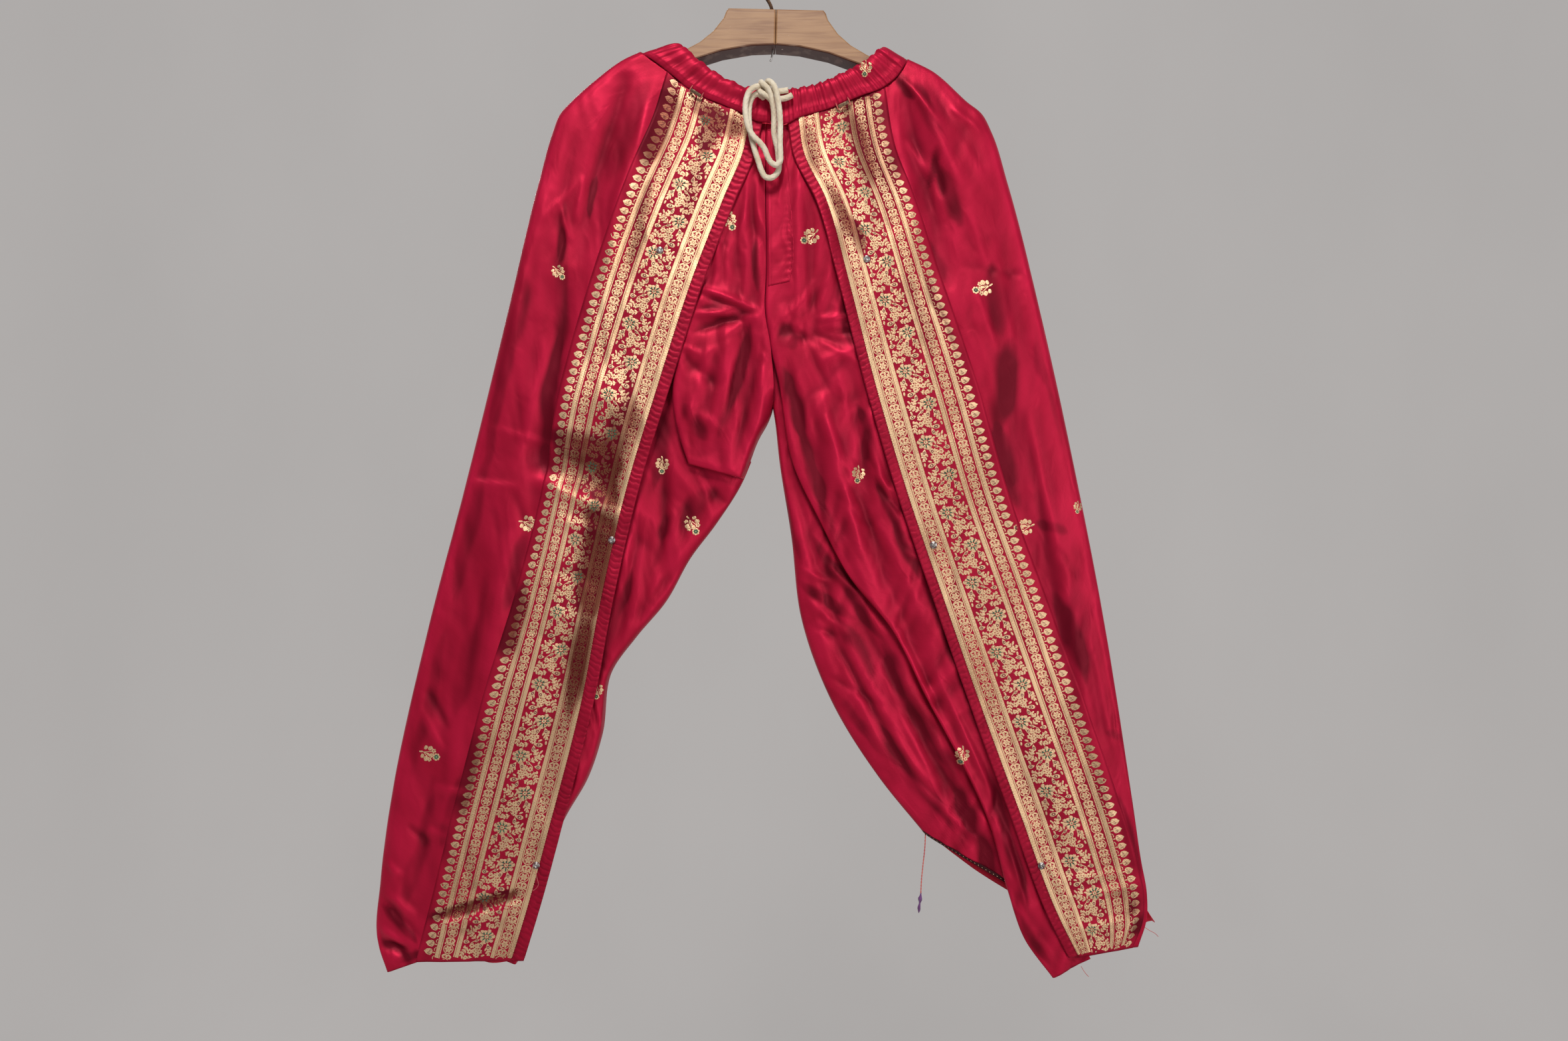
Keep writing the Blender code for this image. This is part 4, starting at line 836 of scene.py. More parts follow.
def cloth_object(name: str, surface: Surface, finishes: list[Material], slot: str,
                 nodes: tuple[str, ...], wall: float = 0.5) -> Piece:
    """Cloth from a surface: the grid, with a wall turned inwards whose back has the reverse finish.

    Args:
        name: of the piece.
        surface: its outer face.
        finishes: of the face and, last, of the reverse.
        slot: not used.
        nodes: the solids that it stands for.
        wall: in millimetres.

    Returns:
        The piece.
    """
    rows, columns = surface.points.shape[:2]
    made = mesh_object(name, surface.points.reshape(-1, 3), grid_faces(rows, columns), finishes,
                       surface.flat.reshape(-1, 2), hollow=surface.hollow)
    shell = made.modifiers.new("wall", "SOLIDIFY")
    shell.thickness = wall * MM
    shell.offset = -1
    shell.material_offset = len(finishes) - 1
    return shown(made, slot, *nodes)


def rings(centres: Array, radii: Array, around: int, hint: Triple = (0, 1, 0)) -> Array:
    """Rings of points about a path: at each, two directions square to it, turned through a circle.

    Args:
        centres: (n, 3) path.
        radii: (n,) or (n, around).
        around: points in a ring.
        hint: a direction the path never runs along.

    Returns:
        (n, around, 3) points.
    """
    ahead = unit(np.gradient(centres, axis=0))
    side = np.cross(ahead, hint)
    side /= np.maximum(np.linalg.norm(side, axis=1, keepdims=True), 1e-9)
    other = np.cross(side, ahead)
    turn = full_turn(around)
    circle = np.cos(turn)[None, :, None] * side[:, None] + np.sin(turn)[None, :, None] * other[:, None]
    spread = radii if np.ndim(radii) == 2 else np.asarray(radii)[:, None]
    radii = np.broadcast_to(spread, (len(centres), around))
    return centres[:, None] + radii[..., None] * circle


def tube_mesh(name: str, centres: Array, radii: Array, around: int, finish: Material,
              hint: Triple = (0, 1, 0)) -> Piece:
    """A closed tube about a path: its rings, and one point at the middle of each end.

    Args:
        name: of the object.
        centres, radii, around, hint: as for rings.
        finish: its material.

    Returns:
        The object.
    """
    ring = rings(centres, radii, around, hint)
    count = len(centres)
    points = np.vstack([ring.reshape(-1, 3), centres[:1], centres[-1:]])
    body = grid_faces(count, around, wrap=True)[:, ::-1]
    index = np.arange(around)
    following = np.roll(index, -1)
    last = (count - 1) * around
    start = np.stack([np.full(around, count * around), index, following], axis=1)
    end = np.stack([np.full(around, count * around + 1), last + following, last + index], axis=1)
    along = way_along(centres)
    flat = np.stack(np.meshgrid(np.linspace(0, 1, around) * 20, along), axis=-1).reshape(-1, 2)
    flat = np.vstack([flat, [[0, 0], [0, along[-1]]]])
    triangles = np.vstack([body[:, [0, 1, 2]], start, end, body[:, [0, 2, 3]]])
    return mesh_object(name, points, triangles, [finish], flat)


# ---------------------------------------------------------------- finishes
class Coordinates(Enum):
    """What a finish's pattern is laid on."""
    CLOTH = "UV"
    SOLID = "Object"


class Graph:
    """A material's nodes, added and joined a line at a time."""

    def __init__(self, name: str, coordinates: Coordinates) -> None:
        """Starts a material with its Principled shader.

        Args:
            name: of the material.
            coordinates: what its pattern is laid on.
        """
        self.material = bpy.data.materials.new(name)
        self.material.use_nodes = True
        self.tree = self.material.node_tree
        self.shader = self.tree.nodes["Principled BSDF"]
        self.place = self.tree.nodes.new("ShaderNodeTexCoord").outputs[coordinates.value]

    def join(self, socket: Socket, value: object) -> None:
        """Links a socket to another one, or sets its value.

        Args:
            socket: an input.
            value: another socket, a number, or a colour, which gets its alpha.
        """
        if isinstance(value, Socket):
            self.tree.links.new(value, socket)
        else:
            socket.default_value = (*value, 1.0) if socket.type == "RGBA" and len(value) == 3 else value

    def add(self, kind: str, options: dict[str, str] | None = None, **inputs: object) -> bpy.types.Node:
        """Adds a node.

        Args:
            kind: its type.
            options: its settings.
            inputs: values or sockets for its inputs, named with _ for a space.

        Returns:
            The node.
        """
        node = self.tree.nodes.new(kind)
        for key, value in (options or {}).items():
            setattr(node, key, value)
        for key, value in inputs.items():
            self.join(node.inputs[key.replace("_", " ")], value)
        return node

    def stretched(self, scale: Triple, turn: float = 0.0) -> Socket:
        """The coordinates turned about Z and stretched."""
        return self.add("ShaderNodeMapping", Vector=self.place, Scale=scale, Rotation=(0, 0, turn)).outputs[0]

    def noise(self, scale: Triple, detail: float = 3.0, turn: float = 0.0, kind: str = "FBM",
              distortion: float = 0.0) -> Socket:
        """Noise from 0 to 1 on stretched coordinates."""
        return self.add("ShaderNodeTexNoise", {"noise_type": kind}, Vector=self.stretched(scale, turn),
                        Scale=1.0, Detail=detail, Distortion=distortion).outputs[0]

    def waves(self, count: float, turn: float, distortion: float = 0.0) -> Socket:
        """Even threads from 0 to 1, so many to each unit of the coordinates."""
        return self.add("ShaderNodeTexWave", {"bands_direction": "X"}, Vector=self.stretched((1, 1, 1), turn),
                        Scale=count / 3.2, Distortion=distortion, Detail=2.0, Detail_Scale=1.5).outputs["Fac"]

    def ramp(self, factor: Socket, *stops: tuple[float, Triple | float]) -> Socket:
        """A colour for each value of a factor.

        Args:
            factor: from 0 to 1.
            stops: places and their colours, where one number is a grey.

        Returns:
            The colour.
        """
        node = self.add("ShaderNodeValToRGB", Fac=factor)
        band = node.color_ramp
        while len(band.elements) < len(stops):
            band.elements.new(0.5)
        for element, (at, colour) in zip(band.elements, stops):
            element.position = at
            element.color = (*(colour if isinstance(colour, tuple) else (colour,) * 3), 1.0)
        return node.outputs[0]

    def mix(self, factor: Socket | float, first: Socket | Triple, second: Socket | Triple) -> Socket:
        """Two colours mixed.

        Args:
            factor: the share of the second.
            first, second: the colours.

        Returns:
            The mixed colour.
        """
        node = self.add("ShaderNodeMix", {"data_type": "RGBA", "blend_type": "MIX"})
        for socket, value in zip((node.inputs[0], *node.inputs[6:8]), (factor, first, second)):
            self.join(socket, value)
        return node.outputs[2]

    def times(self, colour: Socket, by: Socket | Triple) -> Socket:
        """A colour multiplied by another.

        Args:
            colour, by: the two.

        Returns:
            Their product.
        """
        made = self.mix(1.0, colour, by)
        made.node.blend_type = "MULTIPLY"
        return made

    def number(self, how: str, *values: Socket | float) -> Socket:
        """A sum, product or other number made of others.

        Args:
            how: the operation.
            values: two or three sockets or numbers.

        Returns:
            The number.
        """
        node = self.add("ShaderNodeMath", {"operation": how})
        for socket, value in zip(node.inputs, values):
            self.join(socket, value)
        return node.outputs[0]

    def bump(self, height: Socket, strength: float, distance: float, under: Socket | None = None) -> Socket:
        """A bumped normal.

        Args:
            height: of the relief, from 0 to 1.
            strength: of the bump.
            distance: that the whole height stands for, in metres.
            under: another normal, which this one lies over.

        Returns:
            The normal.
        """
        below = {"Normal": under} if under else {}
        return self.add("ShaderNodeBump", Height=height, Strength=strength, Distance=distance,
                        **below).outputs[0]

    def hollow(self) -> Socket:
        """How deep in a fold the surface lies."""
        return self.add("ShaderNodeAttribute", {"attribute_name": "hollow"}).outputs["Fac"]

    def done(self, **inputs: object) -> Material:
        """Joins the pattern to the shader and sets the rest of it as constants.

        Args:
            inputs: values or sockets for the shader's inputs, named with _ for a space.

        Returns:
            The material.
        """
        for key, value in inputs.items():
            self.join(self.shader.inputs[key.replace("_", " ")], value)
        return self.material


@dataclass(frozen=True)
class SilkFinish:
    """Satin silk: fine warp and weft, slubs along the weft, and slow changes of depth in the dye."""
    name: str
    base: Triple
    deep: Triple
    metallic: float = 0.42
    roughness: float = 0.47
    pucker: float = 0.0

    def make(self) -> Material:
        """Dye from low noise, slubs from stretched noise, weave from crossed threads, painted shade in folds
        and painted highlight on ridges.

        Returns:
            The material, its relief built up from the weave through creases to slubs.
        """
        graph = Graph(self.name, Coordinates.CLOTH)
        cloudy = graph.ramp(graph.noise((1.1, 1.6, 1)), (0.3, self.deep), (0.62, self.base))
        slubs = graph.noise((5, 130, 1), 2.0)
        dye_and_painted_shade = graph.mix(0.16, cloudy, graph.ramp(slubs, (0.35, self.deep), (0.6, self.base)))
        # painted shade in folds and painted highlight on ridges, from the hollow
        dye_and_painted_shade = graph.times(dye_and_painted_shade, graph.ramp(graph.hollow(), (0.2, (1.25, 1.25, 1.3)), (0.5, 1), (0.9, 0.34)))
        threads = graph.number("ADD", graph.waves(240, 0.0), graph.waves(200, math.pi / 2))
        relief = graph.bump(threads, 0.12, 0.00006)
        for scale, detail, turn, distortion, strength, distance in (
            ((2.4, 1.5, 1), 3.0, 0.5, 0.7, 0.6, 0.0024),
            ((7.0, 3.4, 1), 2.0, -0.7, 0.9, 0.5, 0.0009),
        ):
            ridges = graph.noise(scale, detail, turn, "RIDGED_MULTIFRACTAL", distortion)
            relief = graph.bump(ridges, strength, distance, relief)
        relief = graph.bump(graph.noise((9, 5, 1), 4.0, 0.3), 0.22, 0.0010, relief)
        if self.pucker:
            drawn = graph.waves(17, math.pi / 2, 5.0)
            relief = graph.bump(drawn, 0.4, self.pucker, relief)
            # painted shade in the troughs of the puckers, in patches
            patchy = graph.ramp(graph.noise((4, 3, 1)), (0.4, 0.1), (0.62, 0.75))
            dye_and_painted_shade = graph.times(dye_and_painted_shade, graph.mix(patchy, (1, 1, 1), graph.ramp(drawn, (0.02, 0.6), (0.4, 1))))
        rough = graph.number("MULTIPLY_ADD", graph.noise((3, 5, 1)), 0.12, self.roughness - 0.06)
        return graph.done(Base_Color=dye_and_painted_shade, Normal=graph.bump(slubs, 0.10, 0.0002, relief), Roughness=rough,
                          Metallic=self.metallic, Sheen_Weight=0.12, Sheen_Roughness=0.4,
                          Sheen_Tint=(1.0, 0.12, 0.25), Specular_IOR_Level=0.12)


@dataclass(frozen=True)
class ZariFinish:
    """Gold thread laid side by side: slanting stitches, bright where new and brown where worn.

    Its colour also has painted glints, and painted shade that turns it copper-brown in folds.
    """
    name: str
    bright: Triple
    worn: Triple
    pitch: float = 110.0
    turn: float = 1.1
    metallic: float = 0.65

    def make(self) -> Material:
        """Colour from two noises, the fine one painting glints, and painted shade from the folds; relief from
        slanting threads.

        Returns:
            The material.
        """
        graph = Graph(self.name, Coordinates.CLOTH)
        # a broad noise of wear, and a fine noise whose peaks are painted glints
        wear_and_glint = graph.number("ADD", graph.noise((1.3, 0.9, 1), 1.0), graph.noise((90, 90, 1), 1.0))
        glint = tuple(min(1.0, 1.22 * part) for part in self.bright)
        gold = graph.ramp(wear_and_glint, (0.78, self.worn), (1.02, self.bright), (1.2, glint))
        threads = graph.waves(self.pitch, self.turn, 0.8)
        gold = graph.mix(0.5, gold, graph.ramp(threads, (0.1, self.worn), (0.6, self.bright)))
        # painted shade: the gold darkens towards copper-brown in folds and in the zones of painted shade
        gold = graph.times(gold, graph.ramp(graph.hollow(), (0.5, 1), (1.0, (0.30, 0.14, 0.13))))
        return graph.done(Base_Color=gold, Normal=graph.bump(threads, 0.35, 0.00025), Roughness=0.42,
                          Metallic=self.metallic, Specular_IOR_Level=0.3)


@dataclass(frozen=True)
class ThreadFinish:
    """Soft cotton or sewing thread: matte, with twisted fibres."""
    name: str
    base: Triple
    soiled: Triple
    sheen: float = 0.3

    def make(self) -> Material:
        """Colour from noise with a little soil, relief from slanting fibres.

        Returns:
            The material.
        """
        graph = Graph(self.name, Coordinates.CLOTH)
        colour = graph.ramp(graph.noise((8, 8, 1), 4.0), (0.3, self.soiled), (0.6, self.base))
        return graph.done(Base_Color=colour, Normal=graph.bump(graph.waves(140, 0.9, 1.2), 0.3, 0.0002),
                          Roughness=0.85, Sheen_Weight=self.sheen, Sheen_Roughness=0.5)


@dataclass(frozen=True)
class MetalFinish:
    """Small metal fittings: dull, scratched and tarnished in patches."""
    name: str
    bright: Triple
    tarnish: Triple
    roughness: float
    amount: float = 0.5

    def make(self) -> Material:
        """Colour and roughness from the same patchy noise, fine pits for relief.

        Returns:
            The material.
        """
        graph = Graph(self.name, Coordinates.SOLID)
        patches = graph.noise((260, 260, 260), 5.0)
        colour = graph.ramp(patches, (self.amount - 0.14, self.bright), (self.amount + 0.12, self.tarnish))
        rough = graph.number("MULTIPLY_ADD", patches, 0.35, self.roughness - 0.12)
        pits = graph.bump(graph.noise((1500, 1500, 1500), 3.0), 0.25, 0.00008)
        return graph.done(Base_Color=colour, Normal=pits, Roughness=rough, Metallic=0.95)


@dataclass(frozen=True)
class WoodFinish:
    """Plain light hardwood: grain that slants up to the middle, darker, with paler patches, where it faces
    down.
    """
    name: str = "tan_hardwood"
    pale: Triple = (0.38, 0.20, 0.088)
    grain: Triple = (0.24, 0.105, 0.04)
    # the darker colour where it faces down, then its paler patches
    under: Triple = (0.085, 0.026, 0.016)
    worn: Triple = (0.20, 0.13, 0.10)
    speck: Triple = (0.75, 0.70, 0.62)

    def make(self) -> Material:
        """Grain from stretched noise, a darker colour with paler patches where it faces down, and specks.

        Returns:
            The material.
        """
        graph = Graph(self.name, Coordinates.SOLID)
        slant = graph.add("ShaderNodeMapping", Vector=graph.place, Scale=(22, 60, 330), Rotation=(0, 0.42, 0))
        fibres = graph.add("ShaderNodeTexNoise", Vector=slant.outputs[0], Scale=1.0, Detail=5.0,
                           Distortion=0.4).outputs[0]
        broad = graph.ramp(graph.noise((16, 30, 60), 3.0), (0.35, self.grain), (0.6, self.pale))
        figure = graph.mix(0.45, graph.ramp(fibres, (0.36, self.grain), (0.56, self.pale)), broad)
        # darker where the surface faces down
        facing = graph.add("ShaderNodeSeparateXYZ", Vector=graph.add("ShaderNodeTexCoord").outputs["Normal"])
        down = graph.number("MULTIPLY", facing.outputs[2], -1.0)
        below = graph.add("ShaderNodeMapRange", Value=down, From_Min=0.2, From_Max=0.5).outputs[0]
        facing_down_tone = graph.ramp(graph.noise((70, 60, 240), 4.0), (0.52, self.under), (0.66, self.worn))
        specks = graph.ramp(graph.noise((230, 230, 230), 1.0), (0.79, 0), (0.82, 1))
        colour = graph.mix(specks, graph.mix(below, figure, facing_down_tone), self.speck)
        return graph.done(Base_Color=colour, Normal=graph.bump(fibres, 0.25, 0.0004), Roughness=0.5,
                          Coat_Weight=0.12, Coat_Roughness=0.35)


@dataclass(frozen=True)
class WallFinish:
    """Pale grey studio cloth, faintly clouded."""
    name: str = "grey_backdrop"
    base: Triple = (0.445, 0.425, 0.415)
    glow: float = 0.92

    def make(self) -> Material:
        """Two greys by noise; most of its light is its own, so that it is even however far the lamps are.

        Returns:
            The material.
        """
        graph = Graph(self.name, Coordinates.SOLID)
        tone = tuple(0.93 * part for part in self.base)
        colour = graph.ramp(graph.noise((0.9, 0.9, 0.6), 6.0), (0.3, tone), (0.7, self.base))
        relief = graph.bump(graph.noise((300, 300, 300)), 0.05, 0.0005)
        return graph.done(Base_Color=graph.times(colour, (0.16, 0.16, 0.16)), Normal=relief, Roughness=0.95,
                          Emission_Color=colour, Emission_Strength=self.glow, Specular_IOR_Level=0.0)


class Finishes:
    """All the finishes of the pants and the hanger, made once."""

    def __init__(self) -> None:
        """Makes each material, from its own name, colours and amounts."""
        self.silk = SilkFinish("crimson_satin", (0.46, 0.0085, 0.040), (0.34, 0.0055, 0.026)).make()
        self.ground = SilkFinish("crimson_ground", (0.40, 0.008, 0.034), (0.28, 0.0045, 0.022), 0.35,
                                 0.5).make()
        self.puckered = SilkFinish("puckered_satin", (0.43, 0.0082, 0.037), (0.31, 0.005, 0.024), 0.4, 0.48,
                                   0.0008).make()
        self.reverse = SilkFinish("reverse_of_satin", (0.6, 0.016, 0.045), (0.48, 0.01, 0.03), 0.15,
                                  0.5).make()
        # near-black: the trim's own dark colour and painted shadow along the drape's edge
        self.hem_trim = SilkFinish("dark_hem_trim", (0.045, 0.01, 0.01), (0.02, 0.004, 0.006), 0.3,
                                   0.5).make()
        self.zari = ZariFinish("gold_zari", (0.78, 0.53, 0.31), (0.36, 0.18, 0.085)).make()
        self.green = ThreadFinish("green_silk_thread", (0.035, 0.12, 0.06), (0.012, 0.05, 0.03), 0.2).make()
        self.shade = ThreadFinish("dark_crimson_thread", (0.17, 0.004, 0.018), (0.08, 0.002, 0.01),
                                  0.2).make()
        self.cord = ThreadFinish("cream_cotton", (0.78, 0.68, 0.52), (0.62, 0.50, 0.34), 0.4).make()
        self.pink = ThreadFinish("pink_thread", (0.62, 0.13, 0.10), (0.45, 0.05, 0.07)).make()
        self.purple = ThreadFinish("purple_thread", (0.16, 0.05, 0.20), (0.10, 0.02, 0.10)).make()
        self.steel = MetalFinish("dull_steel", (0.64, 0.61, 0.58), (0.16, 0.14, 0.13), 0.3, 0.55).make()
        self.brass = MetalFinish("brown_brass", (0.30, 0.20, 0.12), (0.10, 0.06, 0.04), 0.45).make()
        self.wire = MetalFinish("browned_wire", (0.23, 0.13, 0.075), (0.07, 0.035, 0.025), 0.5).make()
        self.wood = WoodFinish().make()
        self.silks = [self.silk, self.reverse]
        self.woven = [self.zari, self.green, self.shade]


# ---------------------------------------------------------------- woven figures
class Thread(Enum):
    """Which material slot of a woven figure a shape is made of."""
    GOLD = 0
    GREEN = 1
    SHADE = 2


CORNERS = 10                    # of every small shape's outline
FIGURES_END = (0.002, 0.998)    # shares of the cloth's length that whole shapes lie between
STRIPES_END = 0.9965            # share of the cloth's length that stripes run to
STRIPE_RELIEF = [0.08, 0.2, 0.14, 0.2, 0.08]


def polar(length: float, turn: float) -> Array:
    """The offset of a length towards an angle in degrees."""
    return np.array([length * math.cos(math.radians(turn)), length * math.sin(math.radians(turn))])


def petal(base: float, tip: float, width: float, point: float = 1.0) -> Array:
    """A leaf shape along +X, whose half width is a sine raised to a power.

    Args:
        base, tip: x of its ends.
        width: of its middle.
        point: the power, less than 1 for blunter ends.

    Returns:
        The outline.
    """
    turn = full_turn(CORNERS)
    along = (1 - np.cos(turn)) / 2
    half = np.sign(np.sin(turn)) * np.abs(np.sin(turn)) ** point * width / 2
    return np.stack([base + along * (tip - base), half], axis=1)


def drop(length: float, width: float) -> Array:
    """A bud along +X: pointed where its stem joins, round at the far end.

    Args:
        length, width: its size.

    Returns:
        The outline.
    """
    turn = full_turn(CORNERS)
    along = (1 - np.cos(turn)) / 2
    return np.stack([along * length, np.sin(turn) * np.sqrt(along) * width / 2], axis=1)


@dataclass
class Figure:
    """A small figure in flat-cloth millimetres: each shape's outline, rise, thread and foot."""
    shapes: list[tuple[Array, float, int, float]] = field(default_factory=list)

    def put(self, outline: Array, x: float = 0, y: float = 0, turn: float = 0, rise: float = 0.28,
            thread: Thread = Thread.GOLD, foot: float = 0.08) -> "Figure":
        """Adds one shape.

        Args:
            outline: of the shape.
            x, y, turn: its place and how many degrees it is turned.
            rise: the height of its middle.
            thread: what it is woven of.
            foot: the height of its rim.

        Returns:
            The figure.
        """
        c, s = polar(1, turn)
        self.shapes.append((outline @ np.array([[c, s], [-s, c]]) + [x, y], rise, thread.value, foot))
        return self

    def leaf(self, x: float, y: float, turn: float, length: float, width: float) -> "Figure":
        """Adds a round bud with a hollow of darker thread and a gold eye in it.

        Args:
            x, y, turn: where its stem joins and which way it points.
            length, width: its size.

        Returns:
            The figure.
        """
        eye = [x, y] + polar(0.58 * length, turn)
        self.put(drop(length, width), x, y, turn, 0.3)
        self.put(petal(-0.22 * length, 0.2 * length, 0.5 * width, 0.6), *eye, turn, 0.34, Thread.SHADE, 0.29)
        return self.put(petal(-0.1 * length, 0.1 * length, 0.24 * width, 0.6), *eye, turn, 0.42, foot=0.34)

    def round(self, outline: Array, count: int, x: float = 0, y: float = 0, start: float = 0,
              rise: float = 0.28, thread: Thread = Thread.GOLD) -> "Figure":
        """Adds a shape several times about a centre.

        Args:
            outline: of the shape.
            count: how many.
            x, y: the centre.
            start: degrees that the first is turned.
            rise, thread: as for one shape.

        Returns:
            The figure.
        """
        for k in range(count):
            self.put(outline, x, y, start + 360 * k / count, rise, thread)
        return self

    def sprig(self, x: float, y: float, turn: float, pairs: int, leaf: float) -> "Figure":
        """Adds a stem with pairs of leaflets and one at its tip.

        Args:
            x, y, turn: where it starts and which way it points.
            pairs: how many.
            leaf: a leaflet's length.

        Returns:
            The figure.
        """
        pitch = leaf * 0.85
        self.put(petal(0, pairs * pitch + 1, 0.8, 0.4), x, y, turn, 0.2)
        for k in range(pairs):
            at = [x, y] + polar((k + 0.45) * pitch, turn)
            for side in (-48, 48):
                self.put(petal(0.2, leaf, 1.75, 0.7), *at, turn + side)
        return self.put(petal(0, leaf * 1.1, 1.8, 0.7), *([x, y] + polar(pairs * pitch, turn)), turn)

    def curl(self, x: float, y: float, turn: float, radius: float, sweep: float) -> "Figure":
        """Adds a curved stem as a chain of short shapes along an arc.

        Args:
            x, y, turn: where it starts and which way it sets out.
            radius: of the arc.
            sweep: how many degrees it turns through.

        Returns:
            The figure.
        """
        steps = max(2, int(abs(sweep) * radius / 60))
        step = math.radians(abs(sweep)) * radius / steps
        for k in range(steps):
            heading = turn + sweep * (k + 0.5) / steps
            self.put(petal(-0.15 * step, 1.15 * step, 0.8, 0.4), x, y, heading, 0.2)
            x, y = [x, y] + polar(step, heading)
        return self

    def shifted(self, x: float) -> "Figure":
        """Moves all its shapes across."""
        self.shapes = [(outline + [x, 0], *rest) for outline, *rest in self.shapes]
        return self


def great_flower() -> Figure:
    """Ten gold petals with darker veins, eight green lozenges at their roots, and three buds.

    Returns:
        The figure.
    """
    made = Figure()
    for x, y, turn, long, wide in ((-2.6, 6.6, 116, 7.6, 5), (2.2, 6.8, 70, 7.4, 5), (6, 4.8, 34, 5.6, 3.6)):
        made.leaf(x, y, turn, long, wide)
    for k in range(10):
        turn, long = 36 * k + 7 * (k % 3), (8.8, 7.4, 8.2, 6.9, 8.5)[k % 5]
        made.put(petal(2.6, long, 4.2, 0.55), turn=turn, rise=0.30)
        made.put(petal(3.6, long - 0.9, 0.55, 0.4), turn=turn + 12, rise=0.40, thread=Thread.SHADE, foot=0.26)
    for k in range(8):
        green = petal(2.1 + 0.5 * (k % 2), 4.6 + 0.9 * (k % 3), 1.5, 0.6)
        made.put(green, turn=45 * k + 9, rise=0.46, thread=Thread.GREEN, foot=0.24)
        made.put(petal(0.5, 2.3, 0.9, 0.6), turn=45 * k + 30, rise=0.44, foot=0.2)
    return made.put(petal(-1, 1, 1.7, 0.5), rise=0.5, thread=Thread.GREEN)


def field_unit() -> Figure:
    """One flower of the main field with the stems, sprigs, buds and small blossoms that follow it.

    Returns:
        The figure.
    """
    made = great_flower().shifted(-6.6)
    for stem in ((-4.2, 6, 44, 22, 34), (-3.4, 6.6, 58, 18, 30), (-5.4, 7.4, 84, 16, -26),
                 (-0.4, 5, 20, 18, 30)):
        made.curl(*stem)
    for sprig in ((3.2, 5, -30, 3, 3.9), (-8.8, 10.2, 124, 2, 3.9), (9.2, 14.6, 62, 3, 3.6),
                  (-10.4, 39.2, -58, 2, 3.6), (2.2, 24.6, 22, 2, 3.4)):
        made.sprig(*sprig)
    made.leaf(8.6, 9.6, 6, 6.6, 5.6).leaf(-2.2, 24.2, 172, 9.2, 6).leaf(-3, 25.6, 98, 7.2, 4.8)
    made.curl(2.4, 21, 140, 9, -20)
    for x, y in ((0.6, 12.2), (5.6, 12.8), (-3.4, 17), (1.8, 17.6), (6.4, 19.2), (-1.6, 21.6)):
        made.round(petal(0.6, 2.9, 1.9, 0.6), 6, x, y, 25 * x, 0.3)
    for x, y, turn, long in (
        (-13.6, 9.2, 96, 4.4), (-13.4, 15.6, 76, 4.2), (-9.6, 19.4, 30, 4), (-13.4, 20.6, 100, 4),
        (12.6, 3.6, 100, 4.2), (13.4, 24.4, 110, 4.2), (9, 23.6, 64, 4.4), (-12.6, 30.4, 60, 4.6),
        (-8.6, 29.8, 30, 4.2), (-13.6, 34.6, 86, 4), (-0.6, 32.6, 52, 4.2), (-8, 34, -20, 3.8),
        (-3.6, 34.8, 20, 3.6), (12.2, 14, 70, 3.4), (0.6, 8.6, 120, 2.8), (-1.8, 38.8, 100, 3.6),
    ):
        made.put(petal(0, long, 1.9, 0.7), x, y, turn, 0.3)
    return made


def guard_unit() -> Figure:
    """A ringed rosette of the narrow border, and the leaves and scrolls up to the next one.

    Returns:
        The figure.
    """
    made = Figure()
    for k in range(12):
        made.put(petal(-1.5, 1.5, 0.95, 0.5), *polar(4.75, 30 * k), k * 30 + 90, 0.26)
    made.round(petal(1, 3.9, 2.3, 0.62), 6, rise=0.3).put(petal(-0.9, 0.9, 1.8, 0.5), rise=0.3)
    for side in (-1, 1):
        made.put(petal(0, 4.4, 2, 0.7), side * 0.9, 5.6, 90 - side * 58)
        made.put(petal(0, 4.2, 2, 0.7), side, 12.4, 90 + side * 236)
        made.put(petal(0, 3.4, 1.7, 0.7), side * 4.6, 7, 90 + side * 20)
        made.put(petal(-0.9, 0.9, 1.7, 0.5), side * 4.4, 12.4)
        made.put(petal(0, 3, 1.3, 0.7), side * 1.4, 9.4, 90 - side * 80)
        made.curl(side * 0.6, 6, 90 - side * 20, 4, side * 110)
    return made.put(petal(-1.6, 2, 1.8, 0.7), 0, 7.6, 90).put(petal(-1.4, 1.6, 1.8, 0.7), 0, 11.4, 90)


def scallop() -> Figure:
    """A heart-shaped leaf with its point outwards and slanting veins, on a short stem with a curl.

    Returns:
        The figure.
    """
    turn = full_turn(CORNERS)
    reach = 3.6 + 2.6 * np.abs(np.cos(turn / 2)) ** 20 - 0.9 * np.abs(np.sin(turn / 2)) ** 10
    heart = np.stack([reach * np.cos(turn) + 3.2, reach * np.sin(turn)], axis=1)
    made = Figure().put(heart).put(petal(-2.4, 0.4, 1.3, 0.5)).curl(-2.4, 3, 20, 2.4, 110)
    for x, y, turned in ((2, -2.4, 40), (2.2, 0, 20), (2.2, 2.2, -10)):
        made.put(petal(0, 3.6, 0.45, 0.5), x, y, turned, 0.36, Thread.SHADE, 0.29)
    return made


